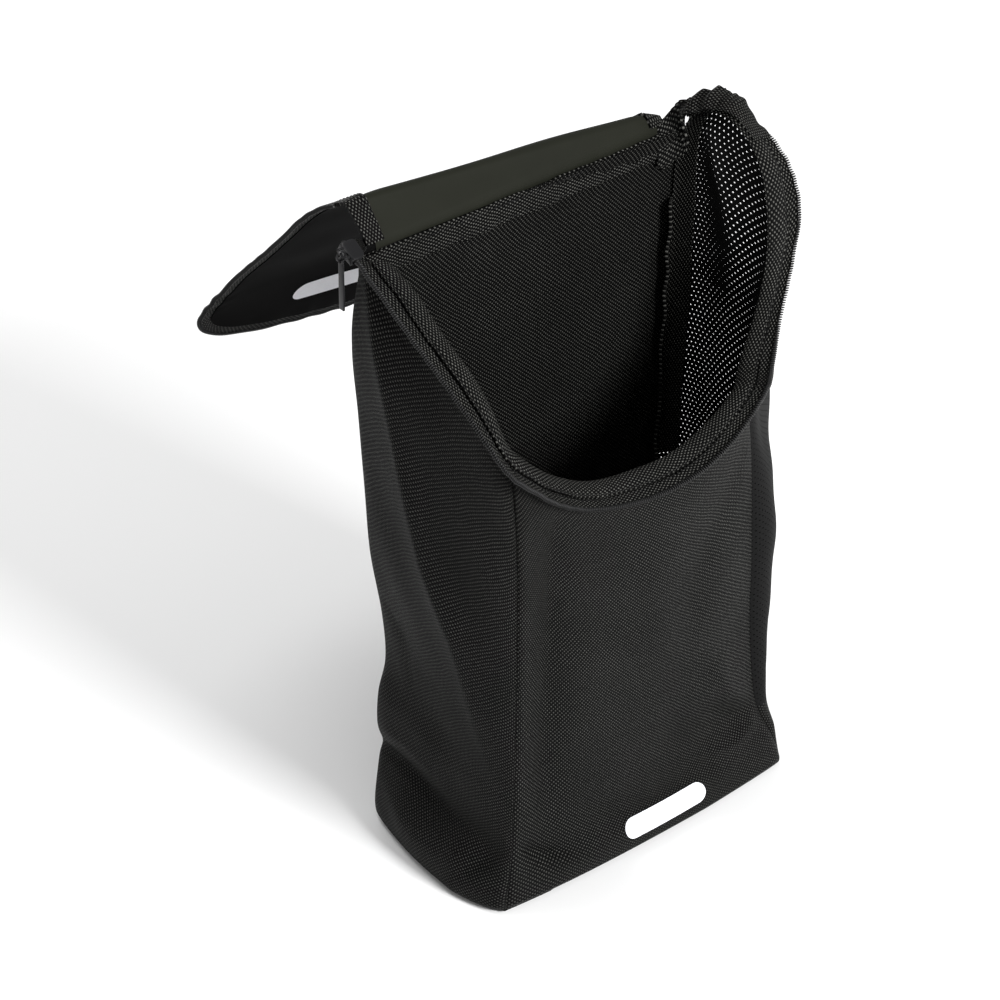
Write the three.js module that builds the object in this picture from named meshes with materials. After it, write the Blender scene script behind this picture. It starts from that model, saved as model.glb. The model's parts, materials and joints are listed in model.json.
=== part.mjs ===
// Shoe bag with a zip-round lid: a soft upright bag, its mouth cut from the back corners down to a
// U across the front, and a lid that is hinged at the back and is shown thrown open.
// Millimetres. +Z is up, the bag faces -Y, and the origin is the centre of the base on the floor.
// Every panel is a thin slab. Pieces that are sewn together keep a small gap.

import * as THREE from 'three';

// ---------- driving dimensions ----------
const halfWidth = 100;
const halfDepth = 55;
const panelThick = 1.6;
const tapeThick = 0.8;
const webThick = 1.2;
const gap = 0.35;
const seamInset = 2.4; // how far a side panel stops short of the seam line, inside the corner
const hingeY = 54;
const hingeZ = 351.5;
const backHeight = 349;
const coilRadius = 1.1;
const meshSplit = 0.17; // share of the right side's height that is plain cloth below the mesh

// Lid: three stiff stretches, a strip by the hinge, the flap and the tongue over the front.
const lidHalf = 99;
const lidTapeWidth = 9;
const creaseLeft = 26; // hinge to crease along the left edge
const creaseRight = 9; // hinge to crease along the right edge
const flapLength = 124;
const tongueSide = 33;
const tongueBow = 38;
const lidGap = 1.8; // cloth left free on each side of a fold
const stripAngle = 53; // degrees, from +Y up
const creaseAngle = -96;
const foldAngle = -18;

const root = new THREE.Group();

const black = { color: 0x161616, roughness: 0.85, metalness: 0 };
const finishes = {
  oxford: black,
  mesh: { color: 0x1b1b1b, roughness: 0.9, metalness: 0 },
  webbing: { color: 0x1d1d1d, roughness: 0.9, metalness: 0 },
  coated: { color: 0x2b2c28, roughness: 0.45, metalness: 0 },
  coil: { color: 0x202020, roughness: 0.45, metalness: 0 },
  slider: { color: 0x141414, roughness: 0.4, metalness: 0.4 },
  print: { color: 0xe8e8ea, roughness: 0.6, metalness: 0 },
};

// ---------- helpers ----------
const v3 = (x, y, z) => new THREE.Vector3(x, y, z);
const degrees = (value) => THREE.MathUtils.degToRad(value);
const steps = (count) => Array.from({ length: count + 1 }, (_, i) => i / count);

function addMesh(name, geometry, finish, parent = root) {
  const mesh = new THREE.Mesh(geometry, new THREE.MeshStandardMaterial(finishes[finish]));
  mesh.name = name;
  parent.add(mesh);
  return mesh;
}

// Six times the volume; negative when the faces point inwards.
function signedVolume(points, index) {
  let sum = 0;
  for (let i = 0; i < index.length; i += 3) {
    const [a, b, c] = [points[index[i]], points[index[i + 1]], points[index[i + 2]]];
    sum += a.dot(b.clone().cross(c));
  }
  return sum;
}

// Joins loops of points into one closed body. In each loop point i faces point (count - 1 - i),
// so both ends close with a strip of quads, unless the loops run round and meet.
function sweep(loops, closed = false) {
  const count = loops[0].length;
  const points = loops.flat();
  const index = [];
  const quad = (a, b, c, d) => index.push(a, b, c, a, c, d);
  const last = closed ? loops.length : loops.length - 1;
  for (let j = 0; j < last; j += 1) {
    const here = j * count;
    const next = ((j + 1) % loops.length) * count;
    for (let i = 0; i < count; i += 1) {
      const k = (i + 1) % count;
      quad(here + i, here + k, next + k, next + i);
    }
  }
  if (!closed) {
    const top = (loops.length - 1) * count;
    for (let i = 0; i < count / 2 - 1; i += 1) {
      quad(i, count - 1 - i, count - 2 - i, i + 1);
      quad(top + i, top + i + 1, top + count - 2 - i, top + count - 1 - i);
    }
  }
  if (signedVolume(points, index) < 0) {
    index.reverse();
  }
  const geometry = new THREE.BufferGeometry().setFromPoints(points);
  geometry.setIndex(index);
  geometry.computeVertexNormals();
  return geometry;
}

// A four-edged cloth patch: its edges are curves, and its middle is pushed out by bulge.
function patch(left, right, bottom, top, bulge) {
  const flat = (u, v) => {
    const p = bottom(u).multiplyScalar(1 - v);
    p.addScaledVector(top(u), v);
    p.addScaledVector(left(v), 1 - u);
    p.addScaledVector(right(v), u);
    p.addScaledVector(bottom(0), -(1 - u) * (1 - v));
    p.addScaledVector(bottom(1), -u * (1 - v));
    p.addScaledVector(top(0), -(1 - u) * v);
    return p.addScaledVector(top(1), -u * v);
  };
  return (u, v) => flat(u, v).addScaledVector(bulge, 16 * u * (1 - u) * v * (1 - v));
}

function outward(surface, u, v) {
  const h = 0.01;
  const across = surface(u + h, v).sub(surface(u - h, v));
  const up = surface(u, v + h).sub(surface(u, v - h));
  return across.cross(up).normalize();
}

// A slab of cloth on a patch, from `out` to `out - thick` along the outward normal.
function clothSlab(surface, uRange, vRange, thick, out, nu, nv) {
  const at = (range, t) => range[0] + (range[1] - range[0]) * t;
  const loops = steps(nv).map((tv) => {
    const v = at(vRange, tv);
    const row = steps(nu).map((tu) => at(uRange, tu));
    const face = (u, lift) => surface(u, v).addScaledVector(outward(surface, u, v), lift);
    return [...row.map((u) => face(u, out)), ...row.reverse().map((u) => face(u, out - thick))];
  });
  return sweep(loops);
}

function curve(points) {
  return new THREE.CatmullRomCurve3(points.map((p) => v3(...p)), false, 'centripetal');
}

function box(x0, x1, y0, y1, z0, z1) {
  const geometry = new THREE.BoxGeometry(x1 - x0, y1 - y0, z1 - z0);
  return geometry.translate((x0 + x1) / 2, (y0 + y1) / 2, (z0 + z1) / 2);
}

// ---------- the mouth's rim ----------
// Stations from the back left corner, down the left side, round the front U and up the right side
// to the back right corner: the free inner edge of the facing, and the zip coil at the outer edge.
const rimStations = [
  { inner: [-94, 51, 352], coil: [-109, 54, 357] },
  { inner: [-92, 24, 341], coil: [-109, 28, 342.7] },
  { inner: [-92, 1, 326], coil: [-109, 2, 328.4] },
  { inner: [-92, -20, 314], coil: [-109, -24, 314.2] },
  { inner: [-91, -34, 301], coil: [-109, -49, 300.4] },
  { inner: [-89, -42, 286], coil: [-103, -61, 284] },
  { inner: [-80, -45, 274], coil: [-89, -62, 269] },
  { inner: [-62, -45, 258], coil: [-72, -62, 254] },
  { inner: [-38, -45, 244], coil: [-48, -61, 240] },
  { inner: [-10, -45, 238.5], coil: [-14, -61, 231] },
  { inner: [16, -45, 238], coil: [18, -61, 232] },
  { inner: [40, -44, 245], coil: [44, -60, 242] },
  { inner: [62, -39, 253], coil: [70, -54, 256] },
  { inner: [77, -28, 257], coil: [87, -41, 259] },
  { inner: [94, -20, 273], coil: [104, -28, 272] },
  { inner: [103, -18, 298], coil: [119, -20, 297] },
  { inner: [107, -14, 322], coil: [129, -13, 322] },
  { inner: [110, -3, 348], coil: [130, 0, 344] },
  { inner: [109, 14, 365], coil: [121, 16, 363] },
  { inner: [107, 32, 366], coil: [118, 33, 372] },
  { inner: [104, 47, 358], coil: [112, 48, 361] },
];
const leftCorner = 5;
const rightCorner = 12;
const lastStation = rimStations.length - 1;
const innerCurve = new THREE.CatmullRomCurve3(rimStations.map((s) => v3(...s.inner)));
const coilCurve = new THREE.CatmullRomCurve3(rimStations.map((s) => v3(...s.coil)));

// The rim's cross direction, normal and width at station s, which need not be whole.
function rimFrame(s) {
  const t = s / lastStation;
  const inner = innerCurve.getPoint(t);
  const coil = coilCurve.getPoint(t);
  const across = coil.clone().sub(inner);
  const width = across.length();
  across.normalize();
  const normal = across.clone().cross(coilCurve.getTangent(t)).normalize();
  if (normal.z < 0) {
    normal.negate();
  }
  return { inner, coil, across, width, normal };
}

// A band of the rim between two distances from the inner edge, given as functions of its width.
function rimBand(from, to, start, end, thick) {
  const count = Math.round((to - from) * 4);
  const loops = steps(count).map((t) => {
    const f = rimFrame(from + (to - from) * t);
    const at = (d, lift) => f.inner.clone().addScaledVector(f.across, d).addScaledVector(f.normal, lift);
    const [a, b] = [start(f.width), end(f.width)];
    return [at(a, thick / 2), at(b, thick / 2), at(b, -thick / 2), at(a, -thick / 2)];
  });
  return sweep(loops);
}

const facingShare = 0.62;
const facingStart = 0.6; // the facing starts clear of the closed lid's strip
const facingEnd = (width) => width * facingShare;
const tapeStart = (width) => width * facingShare + gap;
const tapeEnd = (width) => width - coilRadius - 0.4;
const rimParts = [
  { side: 'left', from: 0, to: leftCorner - 0.03 },
  { side: 'front', from: leftCorner + 0.03, to: rightCorner - 0.03 },
  { side: 'right', from: rightCorner + 0.03, to: lastStation },
];
for (const { side, from, to } of rimParts) {
  const start = Math.max(from, facingStart);
  addMesh(`rim_facing_${side}`, rimBand(start, to, () => 0, facingEnd, webThick), 'webbing');
  addMesh(`body_zip_tape_${side}`, rimBand(from, to, tapeStart, tapeEnd, tapeThick), 'webbing');
}

// The coil, as one smooth bead along the rim's outer edge.
function bead(frames, radius, sides = 6) {
  const loops = frames.map(({ centre, a, b }) => steps(sides).slice(0, sides).map((t) => {
    const angle = (t + 0.5 / sides) * Math.PI * 2;
    const p = centre.clone().addScaledVector(a, Math.cos(angle) * radius);
    return p.addScaledVector(b, Math.sin(angle) * radius);
  }));
  return sweep(loops);
}
const coilFrames = steps(100).map((t) => {
  const f = rimFrame(0.1 + (lastStation - 0.2) * t);
  return { centre: f.coil, a: f.across, b: f.normal };
});
addMesh('body_zip_coil', bead(coilFrames, coilRadius), 'coil');

// Small moulded stops past both ends of the coil.
const stopSize = 2;
const stopShift = 0.4; // the stop stands off the tape
const stopEnds = [
  { name: 'zip_stop_start', s: 0, away: -1 },
  { name: 'zip_stop_end', s: lastStation, away: 1 },
];
for (const { name, s, away } of stopEnds) {
  const f = rimFrame(s);
  const along = coilCurve.getTangent(s / lastStation).multiplyScalar(away);
  const mesh = addMesh(name, new THREE.BoxGeometry(stopSize, stopSize, stopSize), 'coil');
  mesh.position.copy(f.coil).addScaledVector(along, stopSize / 2 + 2 * gap);
  mesh.position.addScaledVector(f.across, stopShift);
  mesh.quaternion.setFromUnitVectors(v3(1, 0, 0), along);
}

// ---------- the bag's panels ----------
// The line under the rim where a panel is sewn to it.
const sewnShare = 0.6;
const sewnDrop = 1.5;
function sewnLine(s) {
  const f = rimFrame(s);
  return f.inner.addScaledVector(f.across, f.width * sewnShare).add(v3(0, 0, -sewnDrop));
}
const sewnBetween = (from, to) => (u) => sewnLine(from + (to - from) * u);
const floorZ = 0.6;

// The four upright seams, from the floor to the rim.
function seam(points, top) {
  const line = curve([...points, top.toArray()]);
  return (v) => line.getPointAt(THREE.MathUtils.clamp(v, 0, 1));
}
const frontLeft = seam(
  [[-97, -54, floorZ], [-94, -55, 47], [-93, -55, 140], [-94, -55, 227]],
  sewnLine(leftCorner),
);
const frontRight = seam(
  [[97, -54, floorZ], [86, -48, 42], [85, -43, 97], [83, -43, 140], [78, -43, 205]],
  sewnLine(rightCorner),
);
const backLeft = seam(
  [[-97, 55, floorZ], [-93, 55, 47], [-90, 55, 98], [-99, 55, 200], [-106, 55, 300]],
  sewnLine(0),
);
const backRight = seam(
  [[98, 55, floorZ], [101, 55, 120], [103, 55, 240], [104, 54.5, 310], [105, 53, 340]],
  sewnLine(lastStation),
);
const line = (from, to) => (t) => from.clone().lerp(to, THREE.MathUtils.clamp(t, 0, 1));

const frontCloth = patch(
  frontLeft,
  frontRight,
  line(frontLeft(0), frontRight(0)),
  sewnBetween(leftCorner, rightCorner),
  v3(0, -4, 0),
);
const leftCloth = patch(
  backLeft,
  frontLeft,
  line(backLeft(0), frontLeft(0)),
  sewnBetween(0, leftCorner),
  v3(-5, 0, 0),
);
const rightCloth = patch(
  frontRight,
  backRight,
  line(frontRight(0), backRight(0)),
  sewnBetween(rightCorner, lastStation),
  v3(11, -4, 0),
);

const sideWidth = 2 * halfDepth;
const inset = seamInset / sideWidth;
const hair = 0.012; // keeps the patch's edges off its own limits, where its normal is measured
const whole = [hair, 1 - hair];
addMesh('front_panel', clothSlab(frontCloth, whole, whole, panelThick, 0, 14, 14), 'oxford');
addMesh(
  'left_side_panel',
  clothSlab(leftCloth, [inset, 1 - inset], whole, panelThick, 0, 10, 14),
  'oxford',
);
addMesh(
  'right_side_mesh',
  clothSlab(rightCloth, [inset, 1 - inset], [meshSplit + 0.002, 1 - hair], panelThick, 0, 12, 16),
  'mesh',
);
addMesh(
  'right_side_lower_panel',
  clothSlab(rightCloth, [inset, 1 - inset], [hair, meshSplit - 0.002], panelThick, 0, 10, 4),
  'oxford',
);

// Back panel: flat, its edges follow the two back seams.
const backRows = steps(12).map((t) => {
  const z = floorZ + (backHeight - floorZ) * t;
  const share = (z - floorZ) / backHeight;
  const [x0, x1] = [backLeft(share).x + 0.5, backRight(share).x - 0.5];
  const [y0, y1] = [halfDepth, halfDepth - panelThick];
  return [v3(x0, y0, z), v3(x1, y0, z), v3(x1, y1, z), v3(x0, y1, z)];
});
addMesh('back_panel', sweep(backRows), 'oxford');

// Base panel: flat, with rounded corners.
const baseInset = 3;
const baseRadius = 6;
const baseThick = 1.8;
function roundedRectangle(x, y, radius) {
  const shape = new THREE.Shape();
  shape.moveTo(-x + radius, -y);
  shape.lineTo(x - radius, -y);
  shape.absarc(x - radius, -y + radius, radius, -Math.PI / 2, 0);
  shape.lineTo(x, y - radius);
  shape.absarc(x - radius, y - radius, radius, 0, Math.PI / 2);
  shape.lineTo(-x + radius, y);
  shape.absarc(-x + radius, y - radius, radius, Math.PI / 2, Math.PI);
  shape.lineTo(-x, -y + radius);
  shape.absarc(-x + radius, -y + radius, radius, Math.PI, Math.PI * 1.5);
  return shape;
}
const baseHalfX = halfWidth - baseInset - 2.5;
const baseHalfY = halfDepth - baseInset;
const baseShape = roundedRectangle(baseHalfX, baseHalfY, baseRadius);
addMesh(
  'base_panel',
  new THREE.ExtrudeGeometry(baseShape, { depth: baseThick, bevelEnabled: false, curveSegments: 6 }),
  'oxford',
);

// A woven strip on the inside of the mesh along the back right seam, near the mouth.
addMesh(
  'right_side_back_strip',
  clothSlab(rightCloth, [0.8, 0.93], [0.58, 0.95], tapeThick, -panelThick - 3 * gap, 2, 10),
  'webbing',
);

// ---------- seams bound inside ----------
// Each upright seam allowance is bound with tape and stands into the bag as a fin.
const finWidth = 6;
const finStart = 4.4;
function seamFin(line3, direction, range) {
  const inwards = v3(...direction).normalize();
  const side = v3(-inwards.y, inwards.x, 0).multiplyScalar(webThick / 2);
  const loops = steps(14).map((t) => {
    const p = line3(range[0] + (range[1] - range[0]) * t);
    const near = p.clone().addScaledVector(inwards, finStart);
    const far = p.clone().addScaledVector(inwards, finStart + finWidth);
    return [
      near.clone().add(side),
      far.clone().add(side),
      far.clone().sub(side),
      near.clone().sub(side),
    ];
  });
  return sweep(loops);
}
const finRange = [0.05, 0.86];
addMesh('seam_binding_front_left', seamFin(frontLeft, [1, 1, 0], finRange), 'webbing');
addMesh('seam_binding_front_right', seamFin(frontRight, [-0.6, 1, 0], finRange), 'webbing');
addMesh('seam_binding_back_left', seamFin(backLeft, [1, -1, 0], finRange), 'webbing');
addMesh('seam_binding_back_right', seamFin(backRight, [-1, -1, 0], finRange), 'webbing');

// The base seam's binding runs round inside, just above the base panel.
const ringInset = 4.2;
const ringWidth = 5;
const outerRing = roundedRectangle(baseHalfX - ringInset, baseHalfY - ringInset, baseRadius);
const ringHole = roundedRectangle(
  baseHalfX - ringInset - ringWidth,
  baseHalfY - ringInset - ringWidth,
  baseRadius,
);
outerRing.holes.push(ringHole);
const ring = new THREE.ExtrudeGeometry(outerRing, { depth: webThick, bevelEnabled: false, curveSegments: 6 });
addMesh('base_seam_binding', ring.translate(0, 0, baseThick + gap), 'webbing');

// ---------- hinge tape and gathered zip ends ----------
const hingeTapeHalf = 93;
const hingeTapeLow = 337;
const hingeTapeHigh = 348.5;
const tapeFront = halfDepth - panelThick - gap - webThick;
const tapeBack = halfDepth - panelThick - gap;
addMesh(
  'hinge_tape',
  box(-hingeTapeHalf, hingeTapeHalf, tapeFront, tapeBack, hingeTapeLow, hingeTapeHigh),
  'webbing',
);
const endTabWidth = 6;
const endTabDrop = 8;
for (const [name, sign] of [['left', -1], ['right', 1]]) {
  const near = sign * (hingeTapeHalf + gap);
  const far = near + sign * endTabWidth;
  const [x0, x1] = [Math.min(near, far), Math.max(near, far)];
  const tab = box(x0, x1, tapeFront, tapeBack, hingeTapeLow - endTabDrop, hingeTapeHigh);
  addMesh(`hinge_tape_end_${name}`, tab, 'webbing');
}

// The zip's two ends are gathered and turned down behind the rim's corners.
function gather(name, centre, radii) {
  const geometry = new THREE.SphereGeometry(1, 12, 8).scale(...radii);
  addMesh(name, geometry, 'webbing').position.set(...centre);
}
gather('zip_end_gather_left', [-104.5, 59, 352.5], [3.6, 2.6, 4.5]);
gather('zip_end_gather_right', [109.5, 55.5, 361], [5.5, 3, 7]);

// ---------- carry handle on the back ----------
const handleZ = 296;
const handleHalf = 66;
const handleWidth = 25;
const handleRise = 15;
const anchorLength = 24;
const anchorFace = halfDepth + gap + webThick;
for (const [name, sign] of [['left', -1], ['right', 1]]) {
  const x = sign * (handleHalf - anchorLength / 2);
  const half = anchorLength / 2 + 2;
  const patchHalf = handleWidth / 2 + 2;
  const anchor = box(
    x - half,
    x + half,
    halfDepth + gap,
    anchorFace,
    handleZ - patchHalf,
    handleZ + patchHalf,
  );
  addMesh(`handle_patch_${name}`, anchor, 'webbing');
}
const handleLoops = steps(24).map((t) => {
  const x = -handleHalf + 2 * handleHalf * t;
  const free = handleHalf - anchorLength;
  const rise = Math.abs(x) < free ? handleRise * Math.cos((x / free) * Math.PI / 2) ** 2 : 0;
  const y = anchorFace + gap + rise;
  const [z0, z1] = [handleZ - handleWidth / 2, handleZ + handleWidth / 2];
  return [v3(x, y, z0), v3(x, y, z1), v3(x, y + panelThick, z1), v3(x, y + panelThick, z0)];
});
addMesh('carry_handle', sweep(handleLoops), 'webbing');

// ---------- plain print on the front, low on the right ----------
addMesh(
  'front_print',
  clothSlab(frontCloth, [0.4, 0.7], [0.045, 0.095], 0.4, 0.4 + gap, 8, 2),
  'print',
);

// ---------- zip slider and pull ----------
// The slider rides on the straight stretch of coil down the left side.
const slideFrom = v3(...rimStations[0].coil);
const slideTo = v3(...rimStations[4].coil);
const slideDirection = slideTo.clone().sub(slideFrom).normalize();
const slideSlope = Math.atan2(-slideDirection.z, -slideDirection.y);
const sliderStart = 4; // distance of the slider's middle from the coil's start
const sliderLength = 11;
const slider = new THREE.Group();
slider.position.copy(slideFrom).addScaledVector(slideDirection, sliderStart);
slider.rotation.x = slideSlope;
root.add(slider);

// Local axes: X is the bag's X, Y runs back up the coil, Z stands off the rim.
const plateIn = 1.6;
const plateOut = 2.7;
const wallOut = -3.7;
const wallIn = -2.5;
const plateEnd = 4.4;
function polygon(points) {
  return new THREE.Shape(points.map(([x, y]) => new THREE.Vector2(x, y)));
}
const channel = polygon([
  [wallOut, -plateOut], [plateEnd, -plateOut], [plateEnd, -plateIn], [wallIn, -plateIn],
  [wallIn, plateIn], [plateEnd, plateIn], [plateEnd, plateOut], [wallOut, plateOut],
]);
const channelSolid = new THREE.ExtrudeGeometry(channel, { depth: sliderLength, bevelEnabled: false });
channelSolid.rotateX(Math.PI / 2).translate(0, sliderLength / 2, 0);
addMesh('zip_slider_body', channelSolid, 'slider', slider);

const bridgeHalf = 3.4;
const bridgeOut = -7.5;
const bridgeWire = 1.2;
const bridgeTop = plateOut;
const bridgeStart = wallOut - gap;
const bridge = polygon([
  [bridgeStart, bridgeHalf], [bridgeOut, bridgeHalf], [bridgeOut, -bridgeHalf],
  [bridgeStart, -bridgeHalf], [bridgeStart, bridgeWire - bridgeHalf],
  [bridgeOut + bridgeWire, bridgeWire - bridgeHalf], [bridgeOut + bridgeWire, bridgeHalf - bridgeWire],
  [bridgeStart, bridgeHalf - bridgeWire],
]);
const bridgeSolid = new THREE.ExtrudeGeometry(bridge, { depth: bridgeWire, bevelEnabled: false });
addMesh('zip_slider_bridge', bridgeSolid.translate(0, 0, bridgeTop - bridgeWire), 'slider', slider);

// The pull hangs straight down from the bridge's bar: a wire ring and a long thin tab.
const pull = new THREE.Group();
const barX = bridgeOut + bridgeWire / 2;
const barZ = bridgeTop - bridgeWire / 2;
pull.position.set(barX, 0, barZ).applyAxisAngle(v3(1, 0, 0), slideSlope).add(slider.position);
root.add(pull);
const ringRadius = 2.4;
const ringWire = 0.55;
const ringDrop = 0.9; // ring's middle below the bar
const ringSolid = new THREE.TorusGeometry(ringRadius, ringWire, 8, 20);
addMesh('zip_pull_ring', ringSolid.rotateX(Math.PI / 2).translate(0, 0, -ringDrop), 'slider', pull);

const tabHalf = 1.9;
const tabLength = 29;
const tabThick = 1.1;
const tabHole = 1.05;
const tabShape = new THREE.Shape();
tabShape.moveTo(-tabHalf, 0);
tabShape.lineTo(-tabHalf, -tabLength + tabHalf * 2);
tabShape.absarc(0, -tabLength + tabHalf * 2, tabHalf, Math.PI, 2 * Math.PI);
tabShape.lineTo(tabHalf, 0);
tabShape.absarc(0, 0, tabHalf, 0, Math.PI);
const eye = new THREE.Path();
eye.absarc(0, 0, tabHole, 0, 2 * Math.PI, true);
tabShape.holes.push(eye);
const tabSolid = new THREE.ExtrudeGeometry(tabShape, {
  depth: tabThick,
  bevelEnabled: false,
  curveSegments: 8,
});
tabSolid.translate(0, 0, -tabThick / 2).rotateX(Math.PI / 2).rotateZ(Math.PI / 2);
addMesh('zip_pull_tab', tabSolid.translate(0, 0, -ringDrop - ringRadius), 'slider', pull);

// ---------- the lid ----------
// Local axes of each stretch: X along the hinge, Y from the hinge outwards, Z off the cloth.
const strip = new THREE.Group();
strip.position.set(0, hingeY, hingeZ);
strip.rotation.x = degrees(stripAngle);
root.add(strip);

const skew = Math.atan2(creaseRight - creaseLeft, 2 * halfWidth);
const creaseMiddle = (creaseLeft + creaseRight) / 2;
const creaseFrame = new THREE.Group();
creaseFrame.position.y = creaseMiddle;
creaseFrame.rotation.z = skew;
strip.add(creaseFrame);
const folded = new THREE.Group();
folded.rotation.x = degrees(creaseAngle);
creaseFrame.add(folded);
const flap = new THREE.Group();
flap.rotation.z = -skew;
folded.add(flap);
const tongue = new THREE.Group();
tongue.position.y = flapLength;
tongue.rotation.x = degrees(foldAngle);
flap.add(tongue);

// Where the crease passes at x, as a distance from the crease's middle.
const creaseAt = (x) => Math.tan(skew) * x;

// A flat piece of lid cloth between two x limits and two edge functions of x.
function lidSlab(x0, x1, low, high, thick, count = 1) {
  const loops = steps(count).map((t) => {
    const x = x0 + (x1 - x0) * t;
    const [a, b] = [low(x), high(x)];
    return [v3(x, a, thick / 2), v3(x, b, thick / 2), v3(x, b, -thick / 2), v3(x, a, -thick / 2)];
  });
  return sweep(loops);
}
const panelHalf = lidHalf - 2 * coilRadius - 0.4 - lidTapeWidth - gap;
const tapeOuter = lidHalf - 2 * coilRadius - 0.4;
const stripLow = () => lidGap + 0.4;
const stripHigh = (x) => creaseMiddle + creaseAt(x) - lidGap;
addMesh(
  'lid_strip_panel',
  lidSlab(-panelHalf, panelHalf, stripLow, stripHigh, panelThick, 4),
  'coated',
  strip,
);
const flapLow = (x) => creaseAt(x) + lidGap;
const flapHigh = () => flapLength - lidGap;
addMesh(
  'lid_flap_panel',
  lidSlab(-panelHalf, panelHalf, flapLow, flapHigh, panelThick, 4),
  'coated',
  flap,
);
for (const [side, sign] of [['left', -1], ['right', 1]]) {
  const [x0, x1] = [sign * (panelHalf + gap), sign * tapeOuter];
  addMesh(`lid_strip_binding_${side}`, lidSlab(x0, x1, stripLow, stripHigh, webThick), 'webbing', strip);
  addMesh(`lid_flap_zip_tape_${side}`, lidSlab(x0, x1, flapLow, flapHigh, webThick), 'webbing', flap);
  const x = sign * (lidHalf - coilRadius);
  const frames = [flapLow(x) + 1, flapHigh() - 0.5].map((y) => (
    { centre: v3(x, y, 0), a: v3(1, 0, 0), b: v3(0, 0, 1) }
  ));
  addMesh(`lid_flap_zip_coil_${side}`, bead(frames, coilRadius), 'coil', flap);
}

// The tongue's outline: short straight sides, then half an ellipse. `off` moves it inwards.
function tongueOutline(off, count = 28) {
  const half = lidHalf - off;
  const bow = tongueBow - off;
  const arc = steps(count).map((t) => {
    const angle = Math.PI * (1 - t);
    return v3(half * Math.cos(angle), tongueSide + bow * Math.sin(angle), 0);
  });
  return [v3(-half, lidGap, 0), ...arc, v3(half, lidGap, 0)];
}
function tongueBand(outerOff, innerOff, thick) {
  const [outer, inner] = [tongueOutline(outerOff), tongueOutline(innerOff)];
  const lift = v3(0, 0, thick / 2);
  const loops = outer.map((p, i) => [
    p.clone().add(lift), inner[i].clone().add(lift), inner[i].clone().sub(lift), p.clone().sub(lift),
  ]);
  return sweep(loops);
}
const panelOff = lidHalf - panelHalf;
const tonguePoints = tongueOutline(panelOff).map((p) => new THREE.Vector2(p.x, p.y));
const tongueSolid = new THREE.ExtrudeGeometry(new THREE.Shape(tonguePoints), {
  depth: panelThick,
  bevelEnabled: false,
});
addMesh('lid_tongue_panel', tongueSolid.translate(0, 0, -panelThick / 2), 'coated', tongue);
addMesh(
  'lid_tongue_zip_tape',
  tongueBand(lidHalf - tapeOuter, panelOff - gap, webThick),
  'webbing',
  tongue,
);
const edge = new THREE.CatmullRomCurve3(tongueOutline(coilRadius));
const tongueFrames = steps(60).map((t) => {
  const b = v3(0, 0, 1);
  const tangent = edge.getTangentAt(t);
  return { centre: edge.getPointAt(t), a: tangent.cross(b).normalize(), b };
});
addMesh('lid_tongue_zip_coil', bead(tongueFrames, coilRadius), 'coil', tongue);

// A plain printed bar on the lid's outer face, which lies underneath while the lid is thrown back.
const printHalfX = 30;
const printHalfY = 7;
const printThick = 0.4;
const lidPrint = box(-printHalfX, printHalfX, -printHalfY, printHalfY, 0, printThick);
const printDown = 38; // below the fold
const printShift = -8;
const lidPrintMesh = addMesh('lid_print', lidPrint, 'print', tongue);
lidPrintMesh.position.set(printShift, printDown, -panelThick / 2 - gap - printThick);

export default root;
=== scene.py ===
import json
import math

import bpy
import numpy as np
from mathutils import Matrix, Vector


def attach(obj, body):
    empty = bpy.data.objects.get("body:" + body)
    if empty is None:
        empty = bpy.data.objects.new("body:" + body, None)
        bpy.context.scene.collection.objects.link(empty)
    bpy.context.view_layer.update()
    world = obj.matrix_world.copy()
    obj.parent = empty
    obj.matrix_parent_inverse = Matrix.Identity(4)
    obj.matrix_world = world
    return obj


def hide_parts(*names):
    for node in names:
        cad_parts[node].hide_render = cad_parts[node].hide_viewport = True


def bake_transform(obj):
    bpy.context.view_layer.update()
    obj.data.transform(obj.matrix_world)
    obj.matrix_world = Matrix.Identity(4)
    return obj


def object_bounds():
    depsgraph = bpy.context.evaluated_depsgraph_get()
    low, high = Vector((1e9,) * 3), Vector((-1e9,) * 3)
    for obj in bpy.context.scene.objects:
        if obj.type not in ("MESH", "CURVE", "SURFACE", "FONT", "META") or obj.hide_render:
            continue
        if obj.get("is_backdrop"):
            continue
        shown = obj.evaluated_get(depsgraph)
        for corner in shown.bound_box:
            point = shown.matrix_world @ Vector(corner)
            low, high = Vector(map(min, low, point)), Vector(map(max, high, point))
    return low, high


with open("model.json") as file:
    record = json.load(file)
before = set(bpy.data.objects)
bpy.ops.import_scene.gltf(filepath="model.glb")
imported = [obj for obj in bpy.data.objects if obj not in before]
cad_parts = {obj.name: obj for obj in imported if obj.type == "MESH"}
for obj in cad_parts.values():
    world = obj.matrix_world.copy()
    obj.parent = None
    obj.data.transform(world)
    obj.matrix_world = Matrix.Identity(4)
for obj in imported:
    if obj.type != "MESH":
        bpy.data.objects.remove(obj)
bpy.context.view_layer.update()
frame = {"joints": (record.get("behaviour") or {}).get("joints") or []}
print("frame loaded")

mm = 0.001
joints = {joint["name"]: joint for joint in frame["joints"]}


# Small tools.

def clearSelection():
    bpy.ops.object.select_all(action="DESELECT")


def rename(piece, name):
    piece.name = name
    piece.data.name = name
    return piece


def readPoints(piece):
    flat = np.empty(len(piece.data.vertices) * 3)
    piece.data.vertices.foreach_get("co", flat)
    return flat.reshape(-1, 3)


def writePoints(piece, points):
    piece.data.vertices.foreach_set("co", np.ascontiguousarray(points, dtype=float).ravel())
    piece.data.update()


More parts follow.
